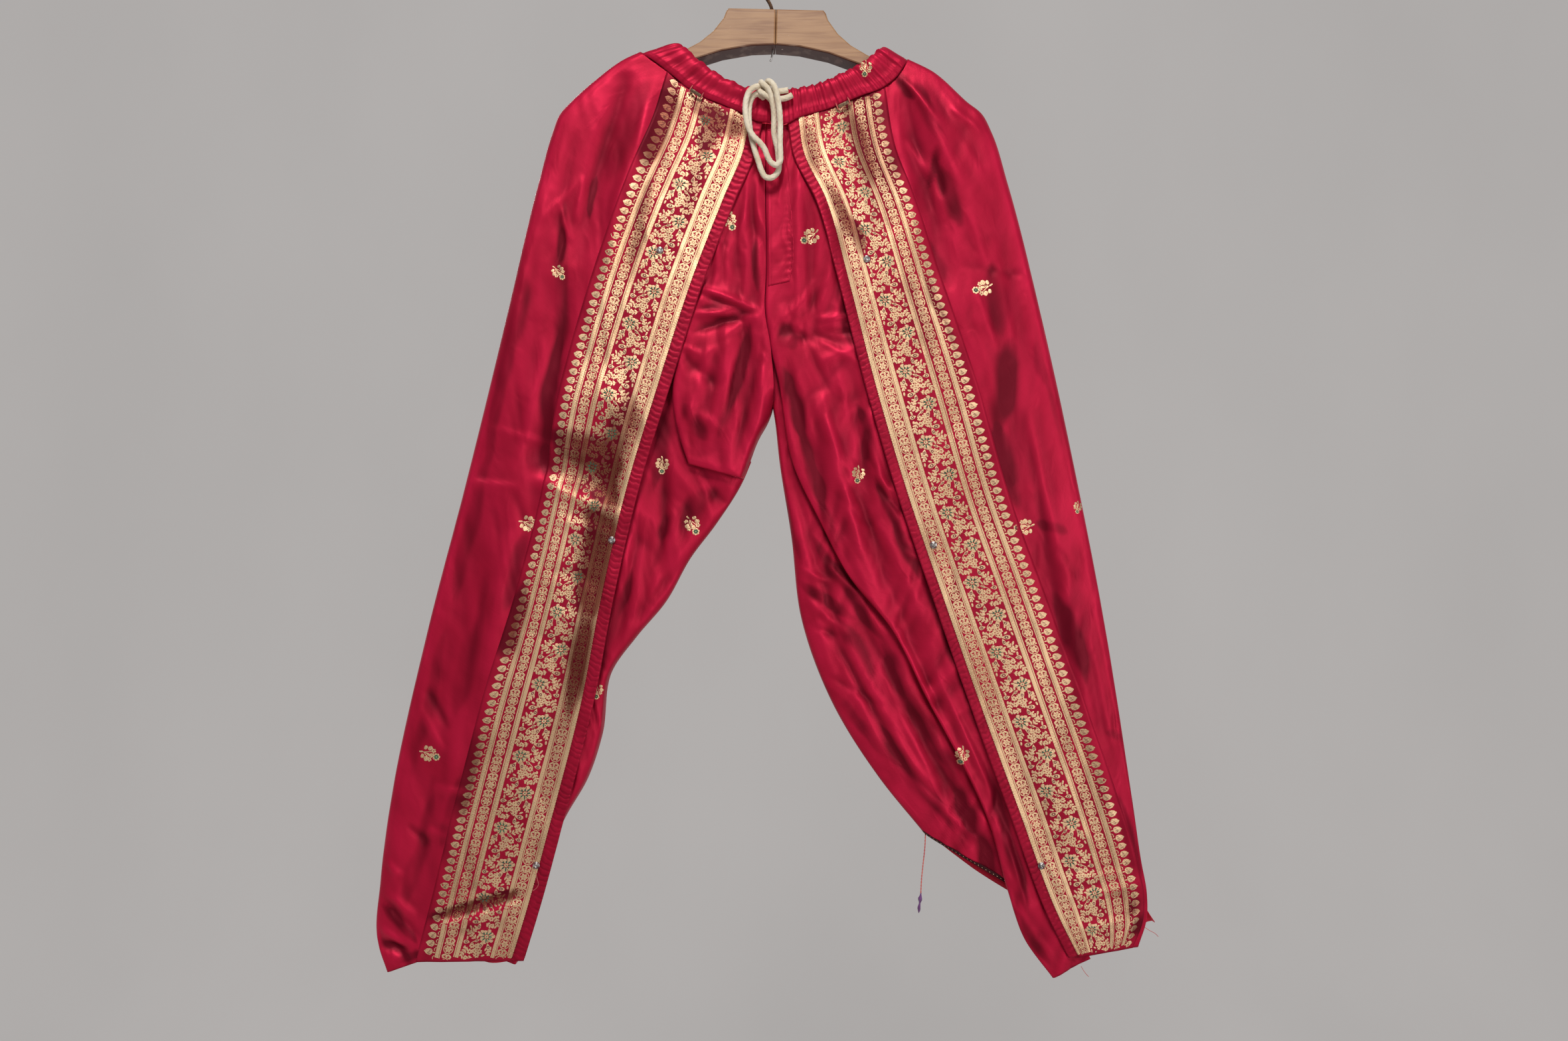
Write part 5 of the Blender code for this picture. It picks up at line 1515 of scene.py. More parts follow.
def buta() -> Figure:
    """A sprig of the open silk: a green-hearted flower, and a leafy bush that runs from it to a stem.

    Returns:
        The figure.
    """
    made = Figure().round(petal(1.9, 3.9, 2.5, 0.6), 7, x=-8.2, rise=0.3)
    made.round(petal(0.3, 2.6, 1.7, 0.6), 6, x=-8.2, start=15, rise=0.34, thread=Thread.GREEN)
    made.put(petal(-0.6, 0.6, 1, 0.5), -8.2, rise=0.42)
    for x, y, turn in ((6.6, 0.6, 176), (6.6, 0.2, 150), (6.6, 1, 206), (5.6, 0.4, 180)):
        made.put(petal(0, 11.6, 0.75, 0.4), x, y, turn, 0.26)
    for x, y in ((-2.6, 5.2), (-3.2, -4.6), (-3.4, 0.4)):
        made.round(petal(0.5, 2.5, 1.8, 0.6), 5, x, y, 12 * x, 0.3)
    for x, y, turn, long, wide in (
        (2.6, 4, 128, 5.2, 4.2), (2.6, -3.6, 232, 5.2, 4.2), (5.6, 2.6, 96, 4.6, 3.4),
        (5.8, -2.2, 262, 4.6, 3.4), (1.6, 0.8, 168, 4.4, 2.6), (6.4, 0.6, 22, 4.2, 1.7),
    ):
        made.put(petal(0, long, wide, 0.6), x, y, turn, 0.3)
    return made


@dataclass(frozen=True)
class Carrier:
    """Carries flat places onto a band's surface, whose rows they run along.

    `width` and `length` are those of the figures' cloth, `plain` is the share of the surface beyond it, and
    `skew` is the slope of the figures' crosswise lines against the grid's rows, at the top and at the foot.
    """
    surface: Surface
    from_left: bool
    width: float
    length: float
    plain: float = 0.0
    skew: tuple[float, float] = (0.0, 0.0)

    def shares(self, flat: Array) -> tuple[Array, Array]:
        """Places on the grid.

        Args:
            flat: flat places.

        Returns:
            Their shares of the grid, down and across.
        """
        a, t = flat[..., 0], flat[..., 1]
        column = a / self.width * (1 - self.plain)
        share = t / self.length
        slope = np.interp(share, [0, 0.3, 0.75, 1], [self.skew[0], 0, 0, self.skew[1]])
        return share + (a - self.width / 2) * slope / self.length, column if self.from_left else 1 - column

    def hollow(self, flat: Array) -> Array:
        """How deep in a fold the cloth is.

        Args:
            flat: flat places.

        Returns:
            The cloth's own number at each.
        """
        rows, columns = self.surface.hollow.shape
        down, across = (np.clip(share, 0, 1) for share in self.shares(flat))
        return self.surface.hollow[(down * (rows - 1)).astype(int), (across * (columns - 1)).astype(int)]

    def __call__(self, flat: Array, height: Array) -> tuple[Array, Array]:
        """Carries shapes onto the cloth.

        Args:
            flat: (shapes, corners, 2) flat places.
            height: of each above the cloth.

        Returns:
            The points, and whether each shape is wholly on the cloth.
        """
        share, column = self.shares(flat)
        points, normals = self.surface.at(share, column)
        first, last = FIGURES_END
        return points + normals * height[..., None], ((share >= first) & (share <= last)).all(axis=-1)


@dataclass(frozen=True)
class Patch:
    """Carries flat places onto the front of a cloth about one point, for a single figure."""
    surface: Surface
    x: float
    z: float
    reach: float = 20.0

    def __call__(self, flat: Array, height: Array) -> tuple[Array, Array]:
        """Carries shapes onto the cloth, as a Carrier does; every shape is on it."""
        points, normals = self.surface.front_at(self.x + flat[..., 0], self.z + flat[..., 1], self.reach)
        return points + normals * height[..., None], np.ones(len(flat), bool)


@dataclass
class Weaving:
    """Figures carried onto a cloth surface as one mesh: blocks of points, faces, slots and flat places."""
    blocks: list[tuple[Array, Array, Array, Array]] = field(default_factory=list)
    count: int = 0

    def add(self, points: Array, faces: Array, slots: Array, flat: Array) -> None:
        """Takes in a block: its points, faces, slots and flat places."""
        self.blocks.append((points.reshape(-1, 3), faces + self.count, slots, flat.reshape(-1, 2)))
        self.count += len(self.blocks[-1][0])

    def place(self, figure: Figure, at: Array, carry: Carrier | Patch, turn: float = 0.0, size: float = 1.0,
              flip: Array | float = 1.0) -> None:
        """Puts a figure at several flat places.

        Each outline becomes a fan about its own middle, whose height is the rise, over a rim that lies
        at its foot's height. A flipped figure has its faces turned round, so that they still face out.

        Args:
            figure: what is placed.
            at: (k, 2) places in flat millimetres.
            carry: from flat places and heights to points of the cloth, and which shapes lie on it whole.
            turn: degrees.
            size: scale of the figure.
            flip: 1 or -1 for each place, which mirrors the figure's first coordinate.
        """
        outlines, rises, threads, feet = (np.array(part) for part in zip(*figure.shapes))
        flip = np.broadcast_to(flip, len(at))
        shapes = outlines[None] * size * np.stack([flip, np.ones_like(flip)], axis=1)[:, None, None, :]
        c, s = polar(1, turn)
        x, y = shapes[..., 0], shapes[..., 1]
        ring = np.stack([x * c - y * s, x * s + y * c], axis=-1) + at[:, None, None, :]
        ring = ring.reshape(-1, CORNERS, 2)
        flat = np.concatenate([ring, ring.mean(axis=1, keepdims=True)], axis=1)
        height = np.repeat(np.tile(feet, len(at))[:, None], CORNERS + 1, axis=1)
        height[:, -1] = np.tile(rises, len(at))
        points, inside = carry(flat, height)
        turned = np.repeat(flip < 0, len(outlines))[:, None]
        index = np.arange(len(ring))[:, None] * (CORNERS + 1)
        a = np.arange(CORNERS)[None, :]
        b = (a + 1) % CORNERS
        first, second = np.where(turned, b, a), np.where(turned, a, b)
        middle = np.broadcast_to(index + CORNERS, first.shape)
        fans = np.stack([index + first, index + second, middle], axis=-1)
        keep = np.repeat(inside, CORNERS)
        slots = np.repeat(np.tile(threads, len(at)), CORNERS)
        self.add(points, fans.reshape(-1, 3)[keep], slots[keep], flat)

    def column(self, figure: Figure, across: float, first: float, last: float, pitch: float, carry: Carrier,
               alternate: bool = False) -> None:
        """Places a figure again and again down the cloth.

        Args:
            figure: what is placed.
            across: its place across.
            first, last, pitch: where the column starts and ends, and its step.
            carry: onto the cloth.
            alternate: whether every other one is mirrored.
        """
        down = np.arange(first, last, pitch)
        flip = np.where(np.arange(len(down)) % 2 == 0, 1.0, -1.0) if alternate else 1.0
        self.place(figure, np.stack([np.full(len(down), across), down], axis=1), carry, flip=flip)

    def strip(self, a0: float, a1: float, wobble: float, carry: Carrier) -> None:
        """Adds a border stripe, a little rounded.

        Args:
            a0, a1: its edges across.
            wobble: how far its first edge waves.
            carry: onto the cloth.
        """
        wave = 2.6
        along = np.arange(0, carry.length + 16, wave / 4 if wobble else wave)
        t, q = np.meshgrid(along, np.linspace(0, 1, len(STRIPE_RELIEF)), indexing="ij")
        edge = a0 + wobble * np.abs(np.sin(math.pi * t / wave)) * (1 - q)
        flat = np.stack([edge + q * (a1 - a0), t], axis=-1)
        points, _ = carry(flat, np.broadcast_to(STRIPE_RELIEF, t.shape))
        faces = grid_faces(*t.shape)
        faces = faces[(carry.shares(flat)[0].ravel()[faces] < STRIPES_END).all(axis=1)]
        self.add(points, halved(faces), np.zeros(2 * len(faces), int), flat)

    def build(self, name: str, finishes: list[Material], carry: Carrier | None = None,
              facing: float = -1.0) -> Piece:
        """One object of all the shapes, with every face turned to look out from the cloth.

        Args:
            name: of the object.
            finishes: one for each thread.
            carry: what gives the folds' shade, or nothing for the same everywhere.
            facing: the sign of the y that faces look to.

        Returns:
            The piece.
        """
        points, faces, slots, flat = (np.concatenate(part) for part in zip(*self.blocks))
        wrong = face_normals(points, faces)[:, 1] * facing < 0
        faces[wrong] = faces[wrong][:, ::-1]
        hollow = carry.hollow(flat) if carry else np.full(len(points), 0.5)
        return shown(mesh_object(name, points, faces, finishes, flat, slots, hollow), "gold_zari")


# ---------------------------------------------------------------- cloth
class Side(Enum):
    """The two legs, as the viewer sees them."""
    LEFT = "left"
    RIGHT = "right"


# what pieces of the same cloth have in common
LEG_RELIEF = {
    Side.LEFT: dict(depth=FRONT_DEPTH_LEFT, folds=FOLDS_LEFT, top=WAIST_FRONT, streaks=(41, 260, -9, 0.3),
                    crushed=(61, 9, 1)),
    Side.RIGHT: dict(depth=FRONT_DEPTH_RIGHT, folds=FOLDS_RIGHT, top=WAIST_FRONT, streaks=(42, 260, 11, 0.3),
                     crushed=(67, -11, 1)),
}
FRONT_RIGHT_RELIEF = dict(folds=FOLDS_FRONT_RIGHT, streaks=(23, 420, 14, 0.4), crushed=(79, -17, 3.6))
DRAPE = dict(left=DRAPE_TOP_LEFT + INNER_RIGHT, right=DRAPE_TOP_RIGHT + DRAPE_HIDDEN, depth=DRAPE_DEPTH,
             columns=SIDE_FOLD + even(0.26, 0.62, 4) + even(0.8, 1, 2), folds=FOLDS_DRAPE)


@dataclass(frozen=True)
class CasingPiece:
    """One piece of the casing: its curves, its gathers' number and height, its seed and its cut width."""
    name: str
    top: Table
    bottom: Table
    gathers: float
    rise: float
    seed: int
    cut: float
    behind: bool = False

    def columns(self) -> Table:
        """The ends that turn in: both of the back's, and one of each front's."""
        half = even(0, 0.9, 12) + CASING_END
        return mirrored(CASING_END) + even(0.08, 0.92, 14) + CASING_END if self.behind else half

    def waves(self, across: Array) -> tuple[Array, Array, Array]:
        """The gathers along the piece.

        The wave is a cosine with two weaker ones of odd lengths, and its phase drifts, so that no two
        gathers are alike.

        Args:
            across: shares of the length.

        Returns:
            The wave, the finer pinches below the stitching and the ripple of the top edge.
        """
        start = np.random.default_rng(self.seed).uniform()
        turn = 2 * math.pi
        drift = 0.25 * np.sin(turn * (3.3 * across + start)) + 0.18 * np.sin(turn * 7.7 * across)
        drift = 6.0 * lattice_noise(across * 5, np.full(len(across), 2.5), self.seed) + drift
        phase = turn * self.gathers * across
        odd = 0.35 * np.sin(2.3 * phase)
        wave = self.rise * (np.cos(phase + drift) + 0.8 * np.sin(0.55 * phase + 1 + drift) + odd)
        pinch = 0.3 * np.sin(2.7 * phase + drift) + 0.2 * np.sin(4.9 * phase + 2)
        return wave, pinch, 0.8 * np.cos(phase + 0.6 + drift) + 0.4 * np.sin(2.3 * phase)

    def surface(self, fine: int) -> Surface:
        """Rows carried from the top curve to the bottom curve and pinched by two rows of stitches.

        Args:
            fine: columns of a front piece.

        Returns:
            The surface.
        """
        count = int(fine * (1.6 if self.behind else 1))
        cols = margin(self.columns(), count, 160, MARGIN_DEPTH)
        across, reach = cols[:, 0], np.clip(cols[:, 1], 0, 1)
        wave, pinch, ripple = self.waves(across)
        rows = margin([row[:2] for row in CASING_ROWS], 30, 34, MARGIN_DEPTH)
        draws = np.interp(rows[:, 2], np.arange(len(CASING_ROWS)), [row[2] for row in CASING_ROWS])
        points = np.empty((len(rows), count, 3))
        for k, ((down, share, _), drawn_in) in enumerate(zip(rows, draws)):
            drawn = across * (1 - drawn_in) + (drawn_in / 2 if self.behind else 0)
            upper, lower = smooth_curve(self.top, drawn), smooth_curve(self.bottom, drawn)
            flat = upper + down * (lower - upper)
            stitched = math.exp(-((down - 0.87) / 0.025) ** 2) + math.exp(-((down - 0.965) / 0.02) ** 2)
            creased = lattice_noise(across * 22 + 5, np.full(count, 2 + 1.6 * down), self.seed + 1)
            relief = (wave * np.interp(down, [0, 0.5, 1], [1, 1, 0.5]) + 1.6 * (creased - 0.5)
                      + pinch * np.interp(down, [0.3, 1], [0.2, 0.8]))
            full = CASING_DEPTH * share + relief * reach**4 - 0.55 * stitched
            y = np.maximum(full * reach, 0.2)
            z = flat[:, 1] + ripple * reach**4 * max(0.0, 1 - 4 * abs(down))
            points[k] = np.stack([flat[:, 0], y if self.behind else -y, z], axis=1)
        runs_right = (points[0, -1, 0] > points[0, 0, 0]) != self.behind
        return Surface(points if runs_right else points[:, ::-1])


@dataclass
class Casing:
    """The gathered tube that holds the drawstring: two front pieces that part at the middle, and a back."""
    finishes: Finishes
    fine: int = 184
    pieces: tuple[CasingPiece, ...] = (
        CasingPiece("casing_front_left", CASING_LEFT_TOP, CASING_LEFT_BOTTOM, 6.5, 0.95, 3, 0.18),
        CasingPiece("casing_front_right", CASING_RIGHT_TOP, CASING_RIGHT_BOTTOM, 12.5, 0.5, 5, 0.18),
        CasingPiece("casing_back", CASING_BACK_TOP, CASING_BACK_BOTTOM, 19.5, 0.8, 8, 0.34, True),
    )

    def build(self) -> dict[str, Surface]:
        """Makes the three pieces.

        Returns:
            Their surfaces, by name.
        """
        made = {}
        for part in self.pieces:
            made[part.name] = part.surface(self.fine)
            piece = cloth_object(f"{part.name}_silk", made[part.name], self.finishes.silks, "crimson_silk",
                                 (part.name,), 0.6)
        return made


@dataclass(frozen=True)
class Cut:
    """How a panel is made: its loft, the grid's columns and rows, and the size and area it was cut to."""
    loft: Loft
    grid: tuple[int, int]
    flat: tuple[float, float]
    area: float
    hung_from: str


@dataclass
class Panels:
    """The silk of both legs: side panels, seat, inner fronts, drape and backs."""
    finishes: Finishes
    lap: float = 1.6      # how far each side panel runs on behind its band

    def fronts(self) -> dict[str, Cut]:
        """The panels that face the viewer.

        Returns:
            How each is made, by name.
        """
        return {
            "side_panel_left": Cut(Loft(
                SIDE_LEFT, inset(BAND_LEFT_OUT, self.lap), SIDE_FOLD + even(0.3, 1, 4),
                **LEG_RELIEF[Side.LEFT], painted_shade_zones=PAINTED_SHADE_SILK),
                (48, 320), (0.16, 0.98), 0.093, "casing_front_left"),
            "side_panel_right": Cut(Loft(
                inset(BAND_RIGHT_OUT, -self.lap), SIDE_RIGHT + SIDE_RIGHT_FRONT_END,
                even(0, 0.7, 4) + mirrored(SIDE_FOLD), **LEG_RELIEF[Side.RIGHT], painted_shade_zones=PAINTED_SHADE_SILK),
                (48, 320), (0.14, 0.98), 0.080, "casing_front_right"),
            "seat_front_left": Cut(Loft(
                SEAT_LEFT_HIDDEN, inset(CENTRE_FRONT + INNER_LEFT[:3], -SEAM),
                TUCK + even(0.14, 0.75, 5) + mirrored(SIDE_FOLD), SEAT_DEPTH,
                rows=even(0, 0.96, 13) + POUCH_ROWS, folds=FOLDS_SEAT, seam_until=0.74, seam_columns=5,
                top=WAIST_FRONT, streaks=(21, 300, 0, 0.4), crushed=(71, -4, 4.8), covered=Covered.LEFT,
                painted_shade_zones=PAINTED_SHADE_SILK, width=80, length=380),
                (56, 200), (0.13, 0.42), 0.040, "casing_front_left"),
            "leg_front_left": Cut(Loft(
                LEG_LEFT_HIDDEN, [(-26, -530), (-34, -549)] + INNER_LEFT[3:],
                even(0, 0.7, 5) + mirrored(SIDE_FOLD), LEG_LEFT_DEPTH, folds=FOLDS_LEG,
                streaks=(22, 300, -14, 0.4), crushed=(73, 16, 3.8), covered=Covered.LEFT, painted_shade_zones=PAINTED_SHADE_SILK,
                width=80, length=640),
                (46, 250), (0.12, 0.66), 0.042, "seat_front_left"),
            "front_right": Cut(Loft(
                CENTRE_FRONT + FOLD_RIGHT, FRONT_RIGHT_HIDDEN,
                TUCK + [(0.12, 1), (0.24, 1), (0.37, 1)] + even(0.5, 1, 5), FRONT_RIGHT_DEPTH,
                **FRONT_RIGHT_RELIEF, top=WAIST_FRONT, covered=Covered.RIGHT, painted_shade_zones=PAINTED_SHADE_SILK, width=90),
                (70, 380), (0.15, 0.98), 0.085, "casing_front_right"),
            "hem_turn_right": Cut(Loft(
                HEM_TURN_LEFT, HEM_TURN_RIGHT, even(0, 1, 3), HEM_TURN_DEPTH, width=30, length=30),
                (14, 14), (0.034, 0.030), 0.0005, "front_right"),
            "drape_right": Cut(Loft(
                **DRAPE, rows=[(0, 1), (0.9915, 1)], streaks=(24, 420, 22, 0.4), crushed=(83, -26, 3.4),
                covered=Covered.RIGHT, painted_shade_zones=PAINTED_SHADE_SILK, width=90, length=520),
                (50, 230), (0.16, 0.56), 0.050, "back_right"),
        }

    def backs(self) -> dict[str, Cut]:
        """The two halves of the back.

        Returns:
            How each is made, by name.
        """
        alike = dict(columns=BACK_FOLD + even(0.28, 0.76, 4) + mirrored(BACK_FOLD), depth=BACK_DEPTH,
                     behind=True, seam_columns=5, top=WAIST_BACK, width=200)
        return {
            "back_left": Cut(Loft(
                SIDE_LEFT, inset(CENTRE_BACK + INNER_LEFT, -0.2), **alike, folds=FOLDS_BACK_LEFT,
                seam_until=0.26, hem=HEM_BACK_LEFT, streaks=(31, 500, -16, 0.45), crushed=(89, 12, 3)),
                (40, 160), (0.30, 1.0), 0.205, "casing_back"),
            "back_right": Cut(Loft(
                SIDE_RIGHT + SIDE_RIGHT_BACK_END, inset(CENTRE_BACK + INNER_RIGHT, 0.2), **alike,
                folds=FOLDS_BACK_RIGHT, seam_until=0.30, hem=HEM_BACK_RIGHT, hem_margin=0.3,
                streaks=(32, 500, 16, 0.45), crushed=(97, -14, 3)),
                (40, 160), (0.32, 0.98), 0.225, "casing_back"),
        }

    def build(self) -> dict[str, Surface]:
        """Makes every panel.

        Returns:
            Their surfaces, by name.
        """
        surfaces = {}
        for name, cut in (self.fronts() | self.backs()).items():
            surfaces[name] = cut.loft.surface(*cut.grid)
            piece = cloth_object(f"{name}_silk", surfaces[name], self.finishes.silks, "crimson_silk", (name,))
        return surfaces


@dataclass(frozen=True)
class BandCut:
    """What differs between the two bands: their cloth's and their placket's edges, and how the gold lies."""
    side: Side
    edges: tuple[Table, Table]
    columns: Table
    strip_edges: tuple[Table, Table]
    strip_columns: Table
    strip_width: float              # of the placket, in metres
    # zones of painted shade on the band's gold and cloth
    painted_shade_zones: Table
    skew: tuple[float, float]
    outer_first: bool               # whether the first edge is the outer one


BAND_COLUMNS = [(0.0, 1.0), (0.25, 1.01), (0.5, 1.03), (0.75, 1.06), (1.0, 1.08)]
BAND_CUTS = (
    BandCut(Side.LEFT, (BAND_LEFT_OUT, BAND_LEFT_IN), BAND_COLUMNS,
            (inset(BAND_LEFT_IN, -0.8), inset(BAND_LEFT_IN, 13)), [(0, 1.07), (0.8, 1.10), (1, 1.06)],
            0.0145, PAINTED_SHADE_GOLD_LEFT, (0.10, -0.25), True),
    BandCut(Side.RIGHT, (BAND_RIGHT_IN, BAND_RIGHT_OUT), mirrored(BAND_COLUMNS),
            (inset(BAND_RIGHT_IN, -11), inset(BAND_RIGHT_IN, 0.8)), [(0, 1.06), (0.2, 1.10), (1, 1.07)],
            0.012, PAINTED_SHADE_GOLD_RIGHT, (0.12, -0.12), False),
)
# across the gold, from the placket's seam: where each stripe starts and ends, and how far its edge waves
STRIPES = [(0.4, 4.4, -0.9), (4.8, 6, 0), (17, 18, 0), (18.4, 22.2, 0), (54.4, 58.2, 0), (58.6, 59.8, 0),
           (73.2, 74.2, 0), (74.6, 78.6, 0)]


@dataclass
class ZariBand:
    """One broad gold band with the narrow puckered strip along its free edge and the turned hem below."""
    finishes: Finishes
    cut: BandCut
    width: float = 88.0             # of the gold
    length: float = 930.0
    plain: float = 0.085            # share of the cloth beyond the scallops
    period: float = 38.0            # from flower to flower
    guard_pitch: float = 17.8
    scallop_pitch: float = 9.0
    pucker_pitch: float = 5.2
    guards: tuple[float, float] = (11.5, 66.5)     # across, as are the next two
    field_middle: float = 38.3
    scallop_root: float = 81.4

    def placket(self) -> Surface:
        """The narrow strip: the band's depth, with puckers that are deepest at its stitched edge.

        Returns:
            The surface.
        """
        surface = Loft(*self.cut.strip_edges, self.cut.strip_columns, width=12, proud=0.1,
                       **LEG_RELIEF[self.cut.side]).surface(8, 460)
        t = surface.flat[..., 1]
        q = np.linspace(0, 1, 8)[None, :] if self.cut.outer_first else np.linspace(1, 0, 8)[None, :]
        jitter = 1.2 * np.sin(t / 23.0) + 0.9 * np.sin(t / 9.3 + 1)
        strength = 0.14 + 0.26 * np.sin(t / 61.0 + np.random.default_rng(51).uniform(0, 6)) ** 2
        waves = np.sin(2 * math.pi * t / self.pucker_pitch + jitter + 0.8 * q)
        groove = -0.45 * np.exp(-((q - 0.14) / 0.07) ** 2)
        surface.points[..., 1] -= strength * waves * (1 - 0.55 * q) + groove
        # the whole strip a little darker: painted shade
        return Surface(surface.points, 0.06)

    def gold(self, surface: Surface) -> Piece:
        """The woven gold: stripes, the field of flowers, two guards of rosettes, and scallops outside.

        Args:
            surface: the band's cloth.

        Returns:
            The piece.
        """
        carry = Carrier(surface, not self.cut.outer_first, self.width, self.length, self.plain, self.cut.skew)
        woven = Weaving()
        for a0, a1, wobble in STRIPES:
            woven.strip(a0, a1, wobble, carry)
        woven.column(field_unit(), self.field_middle, -12, self.length + 18, self.period, carry, True)
        for across in self.guards:
            woven.column(guard_unit(), across, -4, self.length + 16, self.guard_pitch, carry)
        woven.column(scallop(), self.scallop_root, 2, self.length, self.scallop_pitch, carry)
        return woven.build(f"band_{self.cut.side.value}_gold", self.finishes.woven, carry)

    def build(self) -> Surface:
        """Makes the band's cloth, its gold, its placket and its turned hem.

        Returns:
            The cloth's surface.
        """
        side = self.cut.side.value
        surface = Loft(*self.cut.edges, self.cut.columns, proud=0.3, painted_shade_zones=self.cut.painted_shade_zones,
                       **LEG_RELIEF[self.cut.side]).surface(36, 320)
        cloth = cloth_object(f"band_{side}_cloth", surface, [self.finishes.ground, self.finishes.reverse],
                             "gold_zari", (f"band_{side}", f"band_hem_{side}"), 0.9)
        gold = self.gold(surface)
        placket = cloth_object(f"placket_{side}_silk", self.placket(),
                               [self.finishes.puckered, self.finishes.reverse], "crimson_silk",
                               (f"placket_{side}",), 1.2)
        return surface


# ---------------------------------------------------------------- trims, cords and hanger
SNAPS = {Side.LEFT: [(-119, -314), (-168, -611), (-246, -945)],
         Side.RIGHT: [(93, -323), (161, -616), (272, -945)]}
# a stud's turned profile, and the way of each thread that sews it down, as (radius, height)
STUD_PROFILE = [(0.02, 0.5), (0.8, 0.45), (1.1, 1.3), (1.7, 1.7), (2.2, 1.2), (2.4, 0.8), (2.9, 0.75),
                (3.4, 0.6), (3.6, 0.3), (3.5, 0)]
STUD_THREAD = [(2.5, 0.65), (2.9, 1.05), (3.5, 0.9), (4.1, 0.1)]
# a hook bar's strap from foot to foot, and the way of a thread over a foot, as (way, height)
BAR_LINE = [(-7.6, 0), (-6.1, 0.2), (-5.4, 1.7), (-4.2, 2), (4.2, 2), (5.4, 1.7), (6.1, 0.2), (7.6, 0)]
BAR_THREAD = [(-1, -0.5), (-0.8, 0.5), (0, 0.95), (0.8, 0.5), (1, -0.5)]
FLY_DEPTH = [(0, 16), (0.4, 18.4), (1, 20.1)]
UPPER_CORD = [
    (-13, -26.8, -151.5), (-16, -31.5, -149.6), (-19, -36, -150.2), (-26.3, -37.5, -155),
    (-29.8, -38, -163.2), (-31, -38, -172.5), (-30.2, -38, -182.5), (-27.5, -38, -193.4), (-22.4, -38, -202),
    (-16.2, -38, -208), (-11.6, -38, -214.3), (-8.5, -38, -222), (-4.6, -38, -228.3), (0, -38, -230.6),
    (3.9, -38, -227.5), (4.5, -38, -219.7), (4.1, -38, -209.7), (4.3, -38, -198), (4.3, -38, -186.4),
    (3.5, -38.3, -174.8), (1.6, -39.3, -163.2), (-0.2, -40.2, -155.4), (-2.8, -39.7, -149.6),
    (-8.5, -33.5, -144.4), (-9.2, -29.2, -146.6), (-4.4, -29.5, -153.3), (2, -29.6, -153.1),
    (8, -29.8, -152.5), (12.5, -30, -151.8),
]
LOWER_CORD = [
    (-12.5, -26.2, -158.5), (-15.2, -29.2, -157.4), (-18.7, -31.5, -156.3), (-22.4, -31.3, -157.7),
    (-25.9, -31.2, -163.2), (-27.5, -31.2, -172.5), (-27.5, -31.2, -182.5), (-26.3, -31.2, -193.4),
    (-24, -31.2, -204.2), (-21.3, -31.2, -214.3), (-17.8, -31.2, -225.2), (-14.7, -31.2, -234.5),
    (-10.8, -31.2, -240.7), (-5.4, -31.2, -241.8), (-0.7, -31.2, -239.1), (2.4, -31.2, -234.5),
    (3, -31.2, -227.5), (2.4, -31.2, -219.7), (1.6, -31.2, -212), (-0.4, -31.2, -204.2),
    (-1.9, -31.2, -196.5), (-1.9, -31.2, -186.4), (-2.1, -32, -174.8), (-3.8, -34.5, -165.5),
    (-6.2, -37.2, -157), (-9.6, -39.1, -151.9), (-13.1, -38.1, -148.6), (-15, -34.6, -145.6),
    (-13.6, -30.2, -147.6), (-9.4, -28.6, -155.6), (-4.6, -29.6, -160.6), (2, -30, -161), (8, -30.3, -160.6),
    (13, -30.3, -159), (16.5, -30.3, -157),
]
KNOT_WRAP = [(-15, -29, -149.8), (-17.2, -32, -152.6), (-14.6, -35.2, -156.2), (-9.6, -35.6, -159.6),
             (-5.6, -32.6, -162), (-6, -29.4, -161)]
THREAD_ROUTE = [(155.6, -3.6, -917.9), (155, -3.2, -932), (153.2, -2.4, -950), (151.8, -1.6, -965),
                (151, -1.4, -980.5)]
THREAD_KNOT = [(151, -1.4, -979.8), (150.6, -1.5, -984.5), (149.9, -1.4, -989.5), (149.3, -1.4, -995),
               (148.8, -1.3, -1001)]
LOOSE_THREADS = {
    "stud": [(-246, -27.2, -949), (-244, -28, -957), (-243, -27.5, -964), (-246, -27, -968),
             (-249, -26.6, -970)],
    "hem": [(377, -19, -1008), (384, -18, -1013), (391, -17.5, -1017), (394, -17, -1020)],
    "turn": [(316, -11, -1053), (319, -10, -1058), (322, -10, -1062), (324, -10, -1064)],
}
# where the sprigs lie on each panel: x, z, the way they point in degrees, and their size
BUTAS = {
    "side_panel_left": [(-223, -336, 125, 0.8), (-253.7, -594.4, 153, 1), (-355.6, -830, 155, 1)],
    "side_panel_right": [(212.4, -353.2, 15, 1), (254.5, -597.8, 5, 1), (309, -577, 80, 0.6)],
    "seat_front_left": [(-48.7, -281.5, 116, 1)],
    "front_right": [(35.8, -298.5, 32, 1), (84.9, -543, 80, 0.85), (191.2, -831.6, 75, 0.9)],
    "leg_front_left": [(-117.7, -533, 84, 0.85), (-86.6, -595, 115, 1), (-184.7, -766, 84, 0.8)],
    "drape_right": [(58, -600, 70, 0.7)],
    "back_left": [(-100, -260, 90, 1), (-190, -330, 80, 1), (-70, -420, 100, 1), (-210, -520, 90, 1),
                  (-290, -680, 75, 1), (-180, -660, 100, 1), (-250, -850, 85, 1), (-350, -900, 80, 1)],
    "back_right": [(90, -250, 90, 1), (180, -340, 100, 1), (60, -420, 80, 1), (190, -540, 90, 1),
                   (110, -620, 85, 1), (250, -720, 100, 1), (180, -800, 85, 1), (310, -880, 95, 1)],
    "casing_front_right": [(92, -127, 80, 0.8)],
}


